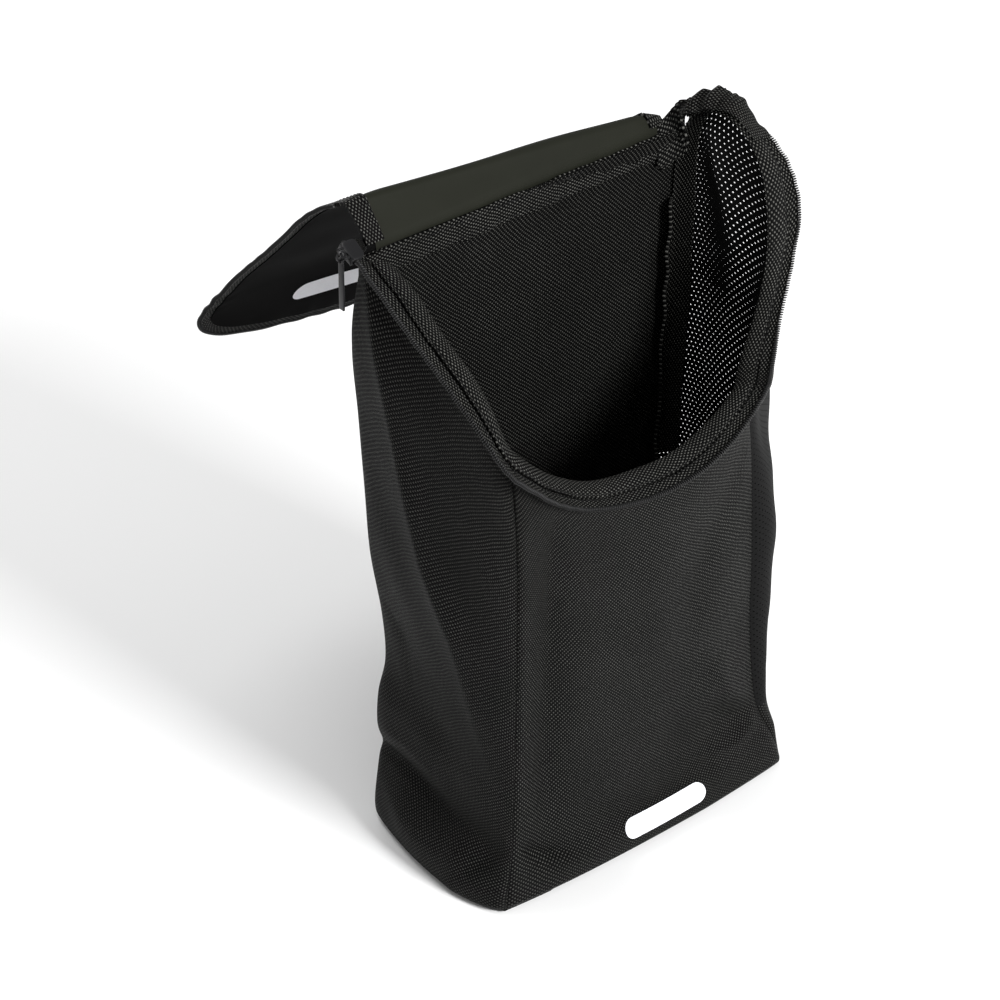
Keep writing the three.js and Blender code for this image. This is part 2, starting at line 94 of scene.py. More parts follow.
def useModifier(piece, kind, **settings):
    clearSelection()
    bpy.context.view_layer.objects.active = piece
    piece.select_set(True)
    modifier = piece.modifiers.new(kind.lower(), kind)
    for name, value in settings.items():
        setattr(modifier, name, value)
    bpy.ops.object.modifier_apply(modifier=modifier.name)


def smoothShade(piece, angle=60):
    clearSelection()
    bpy.context.view_layer.objects.active = piece
    piece.select_set(True)
    bpy.ops.object.shade_smooth_by_angle(angle=math.radians(angle))


def thicken(piece, thickness, offset=-1, even=True):
    useModifier(piece, "SOLIDIFY", thickness=thickness * mm, offset=offset, use_even_offset=even)


def finishPiece(piece, material, slot, body, *nodes):
    piece.data.materials.clear()
    piece.data.materials.append(material)
    if isinstance(body, str):
        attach(piece, body)
    else:
        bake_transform(piece)
    if nodes:
        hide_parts(*nodes)
    return piece


def unit(rows):
    return rows / np.maximum(np.linalg.norm(rows, axis=-1, keepdims=True), 1e-9)


def smoothLine(points):
    # a Catmull-Rom line through listed points, read by station number
    p = np.array(points, float)
    p = np.vstack([2 * p[0] - p[1], p, 2 * p[-1] - p[-2]])
    last = len(points) - 1

    def at(station):
        t = np.clip(np.asarray(station, float), 0, last - 1e-9)
        k = t.astype(int)
        f = (t - k)[..., None]
        a, b, c, d = p[k], p[k + 1], p[k + 2], p[k + 3]
        return 0.5 * (2 * b + (c - a) * f + (2 * a - 5 * b + 4 * c - d) * f ** 2
                      + (3 * b - a - 3 * c + d) * f ** 3)
    return at


def byLength(points):
    # the same line, read by its share of the length
    at = smoothLine(points)
    stations = np.linspace(0, len(points) - 1, 600)
    line = at(stations)
    run = np.concatenate([[0], np.cumsum(np.linalg.norm(np.diff(line, axis=0), axis=1))])
    return lambda share: at(np.interp(share, run / run[-1], stations))


def gridPiece(name, table):
    # a flat grid is added and its points are moved onto the shape, row by row; its UV is in metres
    rows, columns = table.shape[0] - 1, table.shape[1] - 1
    clearSelection()
    bpy.ops.mesh.primitive_grid_add(x_subdivisions=columns, y_subdivisions=rows, size=2)
    piece = rename(bpy.context.active_object, name)
    share = (readPoints(piece)[:, :2] + 1) / 2
    column = np.rint(share[:, 0] * columns).astype(int)
    row = np.rint(share[:, 1] * rows).astype(int)
    writePoints(piece, table[row, column] * mm)
    stepAcross = np.linalg.norm(np.diff(table, axis=1), axis=-1).mean(0)
    stepUp = np.linalg.norm(np.diff(table, axis=0), axis=-1).mean(1)
    runAcross = np.concatenate([[0], np.cumsum(stepAcross)])
    runUp = np.concatenate([[0], np.cumsum(stepUp)])
    corner = np.empty(len(piece.data.loops), dtype=np.int32)
    piece.data.loops.foreach_get("vertex_index", corner)
    uv = np.column_stack([runAcross[column], runUp[row]])[corner] * mm
    piece.data.uv_layers.active.data.foreach_set("uv", uv.ravel())
    return piece


def tableNormals(table):
    across = np.gradient(table, axis=1)
    up = np.gradient(table, axis=0)
    return unit(np.cross(across, up))


def meanLengths(table):
    # along the cloth, across and up, in millimetres
    width = float(np.linalg.norm(np.diff(table, axis=1), axis=-1).sum(1).mean())
    height = float(np.linalg.norm(np.diff(table, axis=0), axis=-1).sum(0).mean())
    return width, height


def tableAt(table, place):
    # a point between the table's own points; place holds column and row
    cell = place.astype(int)
    fx, fy = (place - cell)[..., :1], (place - cell)[..., 1:]
    i, j = cell[..., 0], cell[..., 1]
    return ((table[j, i] * (1 - fx) + table[j, i + 1] * fx) * (1 - fy)
            + (table[j + 1, i] * (1 - fx) + table[j + 1, i + 1] * fx) * fy)


def foldHeights(a, b, folds):
    # each fold is a line in the panel's own plane with a height, a width and a crown radius
    total = np.zeros_like(a)
    for fold in folds:
        line = np.array(fold["line"], float)
        nearest = np.full(a.shape, 1e9)
        place = np.zeros_like(a)
        for k in range(len(line) - 1):
            start, step = line[k], line[k + 1] - line[k]
            share = ((a - start[0]) * step[0] + (b - start[1]) * step[1]) / (step @ step)
            share = np.clip(share, 0, 1)
            gap = np.hypot(a - start[0] - share * step[0], b - start[1] - share * step[1])
            closer = gap < nearest
            nearest = np.where(closer, gap, nearest)
            place = np.where(closer, (k + share) / (len(line) - 1), place)
        crown = fold.get("crown", 0.35) * fold["width"]
        shape = np.exp(-(np.sqrt(nearest ** 2 + crown ** 2) - crown) / fold["width"])
        fade = fold.get("fade", (0.5, 0.3))
        ends = fade[0] + (fade[1] - fade[0]) * place
        taper = ends + (1 - ends) * np.sin(np.pi * np.clip(place, 0, 1)) ** 0.7
        total += fold["height"] * shape * taper
    return total


def ripples(a, b, height, length, seed=0):
    # slow uneven waves that cloth never lacks
    total = np.zeros_like(a)
    for k in range(7):
        turn = 2.4 * k + 1.3 * seed
        pitch = length * (0.6 + 0.27 * k)
        wave = (a * math.cos(turn) + b * math.sin(turn)) * 2 * math.pi / pitch
        total += np.sin(wave + 1.7 * k + seed + 0.6 * np.sin(b / length + k)) / (1 + 0.4 * k)
    return total * height / 2.5


def repeatAlong(name, unitPiece, centres, across, along, normal):
    # the unit piece is copied by an array, then each copy is set on its own place
    count = len(centres)
    base = readPoints(unitPiece)
    useModifier(unitPiece, "ARRAY", fit_type="FIXED_COUNT", count=count,
                use_relative_offset=False, use_constant_offset=True,
                constant_offset_displace=(1, 0, 0))
    local = np.broadcast_to(base / mm, (count, len(base), 3))
    placed = (centres[:, None] + across[:, None] * local[..., :1]
              + along[:, None] * local[..., 1:2] + normal[:, None] * local[..., 2:])
    writePoints(unitPiece, placed.reshape(-1, 3) * mm)
    return rename(unitPiece, name)


def toothUnit(size):
    # one turn of a zip coil: a rounded bar bent over the tape's edge
    clearSelection()
    bpy.ops.mesh.primitive_uv_sphere_add(segments=8, ring_count=5, radius=1)
    piece = bpy.context.active_object
    writePoints(piece, readPoints(piece) * np.array(size) * mm)
    for face in piece.data.polygons:
        face.use_smooth = True
    return piece


# Materials.

def hexColour(text):
    parts = [int(text[k:k + 2], 16) / 255 for k in (1, 3, 5)]
    return [p / 12.92 if p <= 0.04045 else ((p + 0.055) / 1.055) ** 2.4 for p in parts] + [1]


def addNode(tree, kind, inputs=None, **settings):
    node = tree.nodes.new(kind)
    for name, value in settings.items():
        setattr(node, name, value)
    for socket, value in (inputs or {}).items():
        if isinstance(value, bpy.types.NodeSocket):
            tree.links.new(value, node.inputs[socket])
        else:
            node.inputs[socket].default_value = value
    return node


def newMaterial(name, **sockets):
    material = bpy.data.materials.new(name)
    material.use_nodes = True
    tree = material.node_tree
    shader = tree.nodes["Principled BSDF"]
    for socket, value in sockets.items():
        shader.inputs[socket.replace("_", " ")].default_value = value
    return material, tree, shader


def wovenMaterial(name, look):
    # a plain weave: warp and weft cross over and under, each crossing a small crown
    material, tree, shader = newMaterial(
        name, Roughness=look["roughness"], IOR=1.5, Sheen_Weight=look["sheen"],
        Sheen_Roughness=0.5, Specular_IOR_Level=look["gloss"])
    place = addNode(tree, "ShaderNodeTexCoord").outputs["UV"]
    drift = addNode(tree, "ShaderNodeTexNoise", {"Vector": place, "Scale": 60, "Detail": 1})
    shift = addNode(tree, "ShaderNodeVectorMath", {
        0: drift.outputs["Color"], 1: (look["drift"] * mm,) * 3}, operation="MULTIPLY")
    moved = addNode(tree, "ShaderNodeVectorMath", {0: place, 1: shift.outputs[0]},
                    operation="ADD")
    turned = addNode(tree, "ShaderNodeMapping", {
        "Vector": moved.outputs[0],
        "Scale": (math.pi / (look["pitch"][0] * mm), math.pi / (look["pitch"][1] * mm), 1)})
    axes = addNode(tree, "ShaderNodeSeparateXYZ", {"Vector": turned.outputs[0]})
    warp = addNode(tree, "ShaderNodeMath", {0: axes.outputs["X"]}, operation="SINE")
    weft = addNode(tree, "ShaderNodeMath", {0: axes.outputs["Y"]}, operation="SINE")
    crossing = addNode(tree, "ShaderNodeMath", {0: warp.outputs[0], 1: weft.outputs[0]},
                       operation="MULTIPLY")
    crown = addNode(tree, "ShaderNodeMath", {0: crossing.outputs[0]}, operation="ABSOLUTE")
    yarn = addNode(tree, "ShaderNodeMapRange", {
        "Value": crossing.outputs[0], "From Min": -0.25, "From Max": 0.35})
    uneven = addNode(tree, "ShaderNodeTexNoise", {
        "Vector": place, "Scale": 1000, "Detail": 2, "Roughness": 0.6})
    slow = addNode(tree, "ShaderNodeTexNoise", {"Vector": place, "Scale": 22, "Detail": 3})
    grain = addNode(tree, "ShaderNodeMath", {0: uneven.outputs["Fac"], 1: yarn.outputs[0]},
                    operation="MULTIPLY")
    lit = addNode(tree, "ShaderNodeMath", {0: grain.outputs[0], 1: crown.outputs[0]},
                  operation="MULTIPLY")
    shade = addNode(tree, "ShaderNodeMapRange", {
        "Value": lit.outputs[0], "From Min": 0.12, "From Max": 0.52})
    # the colour paints each yarn's crown paler than the dark yarn: a painted highlight (sparkle)
    # laid over the real weave pattern
    colour = addNode(tree, "ShaderNodeMix", {
        "Factor": shade.outputs[0],
        6: hexColour(look["dark"]), 7: hexColour(look["light"])}, data_type="RGBA")
    # slow random changes of tone, from 0.82 to 1.12 times the colour
    slowTone = addNode(tree, "ShaderNodeMapRange", {
        "Value": slow.outputs["Fac"], "From Min": 0.3, "From Max": 0.7,
        "To Min": 0.82, "To Max": 1.12})
    tone = addNode(tree, "ShaderNodeVectorMath", {0: colour.outputs[2], 1: slowTone.outputs[0]},
                   operation="MULTIPLY")
    tree.links.new(tone.outputs[0], shader.inputs["Base Color"])
    bump = addNode(tree, "ShaderNodeBump", {
        "Height": crown.outputs[0], "Strength": look["relief"], "Distance": look["depth"] * mm})
    fibre = addNode(tree, "ShaderNodeBump", {
        "Height": uneven.outputs["Fac"], "Strength": look["fuzz"], "Distance": 0.15 * mm,
        "Normal": bump.outputs[0]})
    tree.links.new(fibre.outputs[0], shader.inputs["Normal"])
    return material


# 600 denier polyester oxford, solution dyed: dull, with a fine sparkle where filaments turn up,
# partly from the bump and partly painted into the colour as paler yarn crowns.
# The real yarn pitch is 0.6 mm; it is drawn at 1.2 mm so that it shows.
oxford = wovenMaterial("polyesterOxfordPlainWeave", {
    "dark": "#020202", "light": "#4a4a47", "pitch": (1.2, 1.2), "roughness": 0.5,
    "sheen": 0.0, "gloss": 0.05, "relief": 1.0, "depth": 0.35, "fuzz": 0.35, "drift": 1.6})
# Woven polyester tape: coarser ribs across its length, drawn a little lighter than the cloth
# through paler painted highlights on its rib crowns.
tapeCloth = wovenMaterial("polyesterWovenTape", {
    "dark": "#030303", "light": "#62625e", "pitch": (1.5, 0.95), "roughness": 0.55,
    "sheen": 0.0, "gloss": 0.06, "relief": 1.0, "depth": 0.4, "fuzz": 0.35, "drift": 1.2})
# Polypropylene webbing: thick herringbone ribs for the handle, their crowns painted paler as a
# painted highlight.
webbing = wovenMaterial("polypropyleneWebbing", {
    "dark": "#040404", "light": "#404040", "pitch": (1.9, 1.1), "roughness": 0.5,
    "sheen": 0.0, "gloss": 0.12, "relief": 1.0, "depth": 0.5, "fuzz": 0.2, "drift": 0.6})


def coatedMaterial(name, low, high, roughness, gloss):
    # polyurethane-coated polyester: a smooth skin with the weave faint below
    material, tree, shader = newMaterial(name, Roughness=roughness, IOR=1.5,
                                         Specular_IOR_Level=gloss)
    place = addNode(tree, "ShaderNodeTexCoord").outputs["Object"]
    slow = addNode(tree, "ShaderNodeTexNoise", {"Vector": place, "Scale": 30, "Detail": 4})
    colour = addNode(tree, "ShaderNodeMix", {
        "Factor": slow.outputs["Fac"], 6: hexColour(low), 7: hexColour(high)},
        data_type="RGBA")
    tree.links.new(colour.outputs[2], shader.inputs["Base Color"])
    grain = addNode(tree, "ShaderNodeTexNoise", {"Vector": place, "Scale": 900, "Detail": 2})
    bump = addNode(tree, "ShaderNodeBump", {
        "Height": grain.outputs["Fac"], "Strength": 0.25, "Distance": 0.1 * mm})
    tree.links.new(bump.outputs[0], shader.inputs["Normal"])
    return material


def plainMaterial(name, colour, roughness, grainSize, relief, **sockets):
    material, tree, shader = newMaterial(name, Roughness=roughness, **sockets)
    place = addNode(tree, "ShaderNodeTexCoord").outputs["Object"]
    grain = addNode(tree, "ShaderNodeTexNoise", {
        "Vector": place, "Scale": 1 / (grainSize * mm), "Detail": 3})
    low, high = hexColour(colour[0]), hexColour(colour[1])
    tone = addNode(tree, "ShaderNodeMix", {"Factor": grain.outputs["Fac"], 6: low, 7: high},
                   data_type="RGBA")
    tree.links.new(tone.outputs[2], shader.inputs["Base Color"])
    bump = addNode(tree, "ShaderNodeBump", {
        "Height": grain.outputs["Fac"], "Strength": relief, "Distance": 0.1 * mm})
    tree.links.new(bump.outputs[0], shader.inputs["Normal"])
    return material


# The lid's inner face is a dull grey-green; its outer face is black and a little shinier.
coated = coatedMaterial("polyurethaneCoatedClothInner", "#181914", "#20211b", 0.6, 0.05)
coatedOuter = coatedMaterial("polyurethaneCoatedClothOuter", "#050505", "#0a0a0a", 0.75, 0.02)
# Air mesh: warp-knitted polyester, soft dull strands with a slight fuzz.
airMesh = plainMaterial("polyesterAirMesh", ("#060606", "#151515"), 0.7, 0.8, 0.5,
                        Specular_IOR_Level=0.08)
# Zip coil: nylon monofilament, satin, catches a small highlight on every turn.
coilNylon = plainMaterial("nylonZipCoil", ("#101010", "#1e1e1e"), 0.36, 0.5, 0.1, IOR=1.53,
                          Specular_IOR_Level=0.3)
# Slider: die-cast zinc under baked black enamel.
enamel = plainMaterial("bakedBlackEnamel", ("#08080a", "#0e0e10"), 0.38, 0.6, 0.05,
                       Coat_Weight=0.12, Coat_Roughness=0.2, Specular_IOR_Level=0.25)
# Screen-printed plastisol ink, flat white with a slight rubbery tooth.
ink = plainMaterial("plastisolInk", ("#e4e4ea", "#f2f2f6"), 0.5, 0.9, 0.3)
# Bonded polyester sewing thread.
thread = plainMaterial("polyesterThread", ("#0c0c0c", "#202020"), 0.6, 0.3, 0.4,
                       Specular_IOR_Level=0.15)
print("materials made")


# Camera.

scene = bpy.context.scene
view = {"azimuth": -40.64, "elevation": 34.98, "roll": 0.69, "aim": (-57.6, 0, 216.4),
        "distance": 1591, "lens": 115.2, "sensor": 36, "far": 20}
azimuth, elevation, roll = (math.radians(view[k]) for k in ("azimuth", "elevation", "roll"))
back = Vector((math.sin(azimuth) * math.cos(elevation),
               -math.cos(azimuth) * math.cos(elevation), math.sin(elevation)))
right = Vector((math.cos(azimuth), math.sin(azimuth), 0))
up = back.cross(right)
right, up = (right * math.cos(roll) + up * math.sin(roll),
             up * math.cos(roll) - right * math.sin(roll))
place = Vector(view["aim"]) * mm + back * view["distance"] * mm
bpy.ops.object.camera_add(location=place)
camera = rename(bpy.context.active_object, "camera")
turnMatrix = camera.matrix_world.to_3x3()
turnMatrix.col[0], turnMatrix.col[1], turnMatrix.col[2] = right, up, back
camera.rotation_euler = turnMatrix.to_euler()
camera.data.lens = view["lens"]
camera.data.sensor_width = view["sensor"]
camera.data.clip_end = view["far"]
scene.camera = camera
scene.view_settings.view_transform = "Standard"


# The rim: the line every panel hangs from.

# Stations run from the back left corner down the left side, round the front and up the right.
rim = {
    "inner": [(-94, 51, 352), (-92, 24, 341), (-92, 1, 326), (-92, -20, 314), (-91, -34, 301),
              (-89, -42, 286), (-80, -45, 274), (-62, -45, 258), (-38, -45, 244),
              (-10, -45, 238.5), (16, -45, 238), (40, -44, 245), (62, -39, 253), (77, -28, 257),
              (94, -20, 273), (103, -18, 298), (107, -14, 322), (110, -3, 348), (109, 14, 365),
              (107, 32, 366), (104, 47, 358)],
    "coil": [(-109, 54, 357), (-109, 28, 342.7), (-109, 2, 328.4), (-109, -24, 314.2),
             (-109, -49, 300.4), (-103, -61, 284), (-89, -62, 269), (-72, -62, 254),
             (-48, -61, 240), (-14, -61, 231), (18, -61, 232), (44, -60, 242), (70, -54, 256),
             (87, -41, 259), (104, -28, 272), (119, -20, 297), (129, -13, 322), (130, 0, 344),
             (121, 16, 363), (118, 33, 372), (112, 48, 361)],
    "leftCorner": 5, "rightCorner": 12, "last": 20,
    "facingShare": 0.62, "sewnShare": 0.6, "sewnDrop": 1.5,
}
rimInner = smoothLine(rim["inner"])
rimCoil = smoothLine(rim["coil"])


def rimFrame(station):
    inner, coil = rimInner(station), rimCoil(station)
    width = np.linalg.norm(coil - inner, axis=-1, keepdims=True)
    across = (coil - inner) / width
    along = unit(rimCoil(np.asarray(station) + 0.03) - rimCoil(np.asarray(station) - 0.03))
    normal = unit(np.cross(across, along))
    normal = np.where(normal[..., 2:] < 0, -normal, normal)
    return inner, coil, across, width, along, normal


def sewnLine(station):
    inner, coil, across, width, along, normal = rimFrame(station)
    return inner + across * width * rim["sewnShare"] - np.array([0, 0, rim["sewnDrop"]])


# The four upright seams.

seams = {
    "frontLeft": {"line": [(-97, -54, 0.6), (-94, -55, 47), (-93, -55, 140), (-94, -55, 227)],
                  "top": 5, "inwards": (1, 1)},
    "frontRight": {"line": [(103, -57.5, 0.6), (97, -54, 20), (88, -48, 46), (85, -43, 97),
                            (83, -43, 140), (78, -43, 205)], "top": 12, "inwards": (-1, 1)},
    "backLeft": {"line": [(-99, 55, 0.6), (-99, 55, 14), (-96, 55, 38), (-93.5, 55, 48),
                          (-97, 55, 62), (-96, 55, 82), (-91, 55, 102), (-93, 55, 133),
                          (-100, 55, 175), (-103, 55, 218), (-106, 55, 262), (-109, 55, 310)],
                 "top": 0, "inwards": (1, -1)},
    "backRight": {"line": [(98, 55, 0.6), (101, 55, 120), (103, 55, 240), (104, 54.5, 310),
                           (105, 53, 340)], "top": 20, "inwards": (-1, -1)},
}


def seamLine(name):
    # the sewn line sits a little inside the cloth's outer corner, and rolls under at the floor
    seam = seams[name]
    at = byLength(seam["line"] + [tuple(sewnLine(float(seam["top"])))])

    def inside(share):
        points = at(share)
        step = 1.6 + 1.2 * np.exp(-points[..., 2:] / 3.0)
        step = step * np.clip((1 - np.asarray(share)[..., None]) / 0.04, 0, 1)
        return points + step * np.array([*seam["inwards"], 0])
    return inside


def closeToEnds(count, amount):
    # shares from 0 to 1 that crowd towards both ends
    t = np.linspace(0, 1, count + 1)
    return t - amount * np.sin(2 * np.pi * t) / (2 * np.pi)


def clothTable(panel, u, v):
    left, right = seamLine(panel["left"]), seamLine(panel["right"])
    top = sewnLine(panel["top"][0] + (panel["top"][1] - panel["top"][0]) * u)[None]
    l, r = left(v)[:, None], right(v)[:, None]
    l0, r0, l1, r1 = left(np.array(0.0)), right(np.array(0.0)), top[0, 0], top[0, -1]
    a, b = u[None, :, None], v[:, None, None]
    flat = (l0 * (1 - a) + r0 * a) * (1 - b) + top * b + l * (1 - a) + r * a
    flat = flat - (1 - a) * (1 - b) * l0 - a * (1 - b) * r0 - (1 - a) * b * l1 - a * b * r1
    flat = flat + np.array(panel["bulge"]) * 16 * a * (1 - a) * b * (1 - b)
    for swell in panel["swells"]:
        # a local push: steep where the cloth leaves the seam, and low or high on the panel
        along = (a / swell["at"]) * np.exp(1 - a / swell["at"])
        along = along * np.clip((1 - a) / 0.3, 0, 1) ** 0.5
        height = flat[..., 2:]
        middle, spread = swell["height"]
        flat = flat + np.array(swell["push"]) * along * np.exp(-((height - middle) / spread) ** 4)
    outwards = tableNormals(flat)
    width = np.linalg.norm(r - l, axis=-1)
    height = np.linalg.norm(np.diff(flat, axis=0), axis=-1).sum(0)[None]
    side = np.minimum(a[..., 0] * width, (1 - a[..., 0]) * width)
    end = np.minimum(b[..., 0], 1 - b[..., 0]) * height
    held = (1 - np.exp(-(side / 9) ** 1.5)) * (1 - np.exp(-(end / 9) ** 1.5))
    across, upward = flat[..., panel["axis"]], flat[..., 2]
    lift = foldHeights(across, upward, panel["folds"])
    lift = lift + ripples(across, upward, panel["ripple"], panel["rippleLength"], panel["seed"])
    pillow = 1.9 * (1 - np.exp(-side / 2.4)) * np.clip(end / 4, 0, 1)
    return flat + outwards * (lift * held + pillow)[..., None]


def clothPanel(name, panel, u, v, thickness):
    table = clothTable(panel, u, v)
    width, height = meanLengths(table)
    piece = gridPiece(name, table)
    thicken(piece, thickness)
    smoothShade(piece, 80)
    print(name, "flat size", round(width), "by", round(height), "mm")
    return piece, (width * mm, height * mm)


# Fold lines are given on the panel: y or x, then z, in millimetres.
frontPanel = {
    "left": "frontLeft", "right": "frontRight", "top": (5, 12), "bulge": (0, -4, 0), "axis": 0,
    "swells": [{"push": (0, -5, 0), "at": 0.55, "height": (0, 24)}],
    "ripple": 0.7, "rippleLength": 70, "seed": 1,
    "folds": [
        {"line": [(-70, 232), (-69, 170), (-70, 100), (-68, 44)], "height": -7.0, "width": 11},
        {"line": [(-88, 42), (-74, 29), (-56, 22)], "height": -4.2, "width": 4.5, "crown": 0.2},
        {"line": [(0, 215), (6, 130), (0, 60)], "height": 3.2, "width": 30},
        {"line": [(80, 52), (62, 66), (46, 92)], "height": 3.2, "width": 7},
        {"line": [(82, 44), (66, 46), (44, 62)], "height": -3.2, "width": 6},
        {"line": [(84, 36), (64, 30), (46, 34)], "height": 2.8, "width": 6},
        {"line": [(64, 215), (34, 160), (22, 104)], "height": -3.0, "width": 14},
    ],
}
leftPanel = {
    "left": "backLeft", "right": "frontLeft", "top": (0, 5), "bulge": (-5, 0, 0), "axis": 1,
    "swells": [{"push": (-12, -2, 0), "at": 0.85, "height": (0, 30)}],
    "ripple": 0.8, "rippleLength": 60, "seed": 2,
    "folds": [
        {"line": [(44, 346), (38, 333), (23, 295), (16, 270), (-3, 203), (-22, 165), (-34, 122),
                  (-41, 87)], "height": 7.5, "width": 15, "crown": 0.12, "fade": (0.8, 0.3)},
        {"line": [(50, 50), (30, 47), (5, 40), (-22, 40)], "height": -3.4, "width": 6},
        {"line": [(48, 64), (26, 66), (2, 62)], "height": 2.4, "width": 7},
        {"line": [(46, 30), (20, 20), (-10, 18)], "height": 2.2, "width": 9},
        {"line": [(-50, 38), (-34, 22), (-20, 8)], "height": -3.0, "width": 5, "crown": 0.2},
        {"line": [(48, 150), (30, 130), (22, 96)], "height": -2.0, "width": 8},
    ],
}
rightPanel = {
    "left": "frontRight", "right": "backRight", "top": (12, 20), "bulge": (7, 0, 0), "axis": 1,
    "swells": [{"push": (7, -6, 0), "at": 0.13, "height": (105, 95)}],
    "ripple": 0.9, "rippleLength": 55, "seed": 3,
    "folds": [
        {"line": [(34, 352), (24, 318), (18, 290), (20, 262)], "height": -6.5, "width": 8},
        {"line": [(8, 340), (2, 310), (4, 280)], "height": 2.5, "width": 9},
        {"line": [(-38, 60), (-10, 52), (24, 50)], "height": -2.0, "width": 7},
        {"line": [(-40, 180), (-30, 130), (-34, 90)], "height": 2.0, "width": 12},
    ],
}
meshSplit = 0.17
across = closeToEnds(150, 0.7)
upwards = closeToEnds(200, 0.55)

frontCloth, frontFlat = clothPanel("frontPanelCloth", frontPanel, across, upwards, 0.6)
finishPiece(frontCloth, oxford, "oxford", "bag", "front_panel")
leftCloth, leftFlat = clothPanel("leftPanelCloth", leftPanel, across, upwards, 0.6)
finishPiece(leftCloth, oxford, "oxford", "bag", "left_side_panel")
lowerRows = closeToEnds(50, 0.4) * (meshSplit + 0.004)
lowerCloth, lowerFlat = clothPanel("rightLowerCloth", rightPanel, across, lowerRows, 0.6)
finishPiece(lowerCloth, oxford, "oxford", "bag", "right_side_lower_panel")
print("front, left and lower right panels made")


# The mesh side.

# Six-sided holes between soft strands, staggered row on row.
net = {"pitch": 2.75, "strand": 2.02, "thickness": 0.45, "merge": 0.03}


def meshSide():
    u, v = np.linspace(0, 1, 260), np.linspace(0, 1, 420)
    table = clothTable(rightPanel, u, v)
    width, height = meanLengths(table)
    radius = net["pitch"] / math.sqrt(3)
    clearSelection()
    bpy.ops.mesh.primitive_circle_add(vertices=6, radius=radius * mm, fill_type="NGON")
    piece = rename(bpy.context.active_object, "meshSideNet")
    bpy.ops.object.mode_set(mode="EDIT")
    bpy.ops.mesh.select_all(action="SELECT")
    bpy.ops.mesh.inset(thickness=net["strand"] / 2 * mm)
    bpy.ops.mesh.delete(type="FACE")
    bpy.ops.object.mode_set(mode="OBJECT")
    rowStep = radius * 1.5
    columns, rows = math.ceil(width / net["pitch"]) + 2, math.ceil(height / rowStep / 2) + 2
    copies = [(columns, (net["pitch"], 0, 0)), (2, (net["pitch"] / 2, rowStep, 0)),
              (rows, (0, 2 * rowStep, 0))]
    for count, step in copies:
        useModifier(piece, "ARRAY", fit_type="FIXED_COUNT", count=count,
                    use_relative_offset=False, use_constant_offset=True,
                    constant_offset_displace=[s * mm for s in step], use_merge_vertices=True,
                    merge_threshold=net["merge"] * mm)
    useModifier(piece, "WELD", merge_threshold=net["merge"] * mm)
    share = readPoints(piece)[:, :2] / mm / [width, height]
    low = meshSplit - 0.004
    outside = ((share < [-0.002, low]) | (share > [1.002, 1.002])).any(1)
    bpy.ops.object.mode_set(mode="EDIT")
    bpy.ops.mesh.select_mode(type="VERT")
    bpy.ops.object.mode_set(mode="OBJECT")
    piece.data.vertices.foreach_set("select", outside)
    bpy.ops.object.mode_set(mode="EDIT")
    bpy.ops.mesh.delete(type="VERT")
    bpy.ops.object.mode_set(mode="OBJECT")
    share = np.clip(readPoints(piece)[:, :2] / mm / [width, height], 0, 0.99999)
    place = share * [len(u) - 1, len(v) - 1]
    writePoints(piece, tableAt(table, place) * mm)
    thicken(piece, net["thickness"], 0)
    smoothShade(piece, 80)
    return piece, (width * mm, height * (1 - meshSplit) * mm)


net["piece"], net["flat"] = meshSide()
finishPiece(net["piece"], airMesh, "mesh", "bag", "right_side_mesh")
print("mesh side made", len(net["piece"].data.polygons), net["flat"])


# Bands of woven tape.

def band(name, table, thickness, material, slot, body, *nodes, bevel=0.3, even=True):
    piece = gridPiece(name, table)
    thicken(piece, thickness, 0, even)
    if bevel:
        useModifier(piece, "BEVEL", width=bevel * mm, segments=2, limit_method="ANGLE",
                    angle_limit=math.radians(60))
    smoothShade(piece, 50)
    finishPiece(piece, material, slot, body, *nodes)
    return piece


def rimTable(start, end, fromShare, toShare, rows, height):
    columns = int((end - start) * 44)
    stations = np.linspace(start, end, columns + 1)
    inner, coil, across, width, along, normal = rimFrame(stations)
    share = np.linspace(0, 1, rows + 1)[:, None, None]
    low, high = fromShare(width), toShare(width)
    distance = low + (high - low) * share
    return inner + across * distance + normal * height(stations[None, :, None], distance, width)


def pucker(station, distance, width):
    # cloth drawn up by its stitching: small waves that grow towards the gathered zip end
    run = station * 29.0
    grow = np.exp(-((station - 19.2) / 1.5) ** 2) + 0.25 * np.exp(-((station - 0.2) / 0.8) ** 2)
    deep = np.sin(run / 2.3 + 2 * np.sin(run / 11)) * (0.18 + 1.5 * grow)
    slow = 0.5 * np.sin(run / 13 + 1) + 0.4 * np.sin(run / 31)
    return deep * np.clip(distance / width, 0, 1) + slow * 0.5


def facingHeight(station, distance, width):
    share = distance / (width * rim["facingShare"])
    rolled = -1.6 * np.exp(-distance / 2.0)
    crown = 0.7 * np.sin(np.pi * np.clip(share, 0, 1))
    sunk = -0.8 * np.exp(-((share - 0.88) / 0.05) ** 2)
    return rolled + crown + sunk + pucker(station, distance, width)


def tapeHeight(station, distance, width):
    share = (distance - width * rim["facingShare"]) / (width * (1 - rim["facingShare"]))
    return -1.9 + 0.5 * np.clip(share, 0, 1) + pucker(station, distance, width)


rimParts = [("left", 0.0, 5.0), ("front", 5.0, 12.0), ("right", 12.0, 20.0)]
for side, start, end in rimParts:
    facing = rimTable(max(start, 0.35), end, lambda w: 0 * w, lambda w: w * rim["facingShare"],
                      14, facingHeight)
    band("rimFacing" + side.title(), facing, 1.0, tapeCloth, "webbing", "bag",
         "rim_facing_" + side)
    tape = rimTable(start, end, lambda w: w * rim["facingShare"] - 1.5, lambda w: w + 0.3,
                    6, tapeHeight)
    band("rimZipTape" + side.title(), tape, 0.7, tapeCloth, "webbing", "bag",
         "body_zip_tape_" + side, bevel=0)


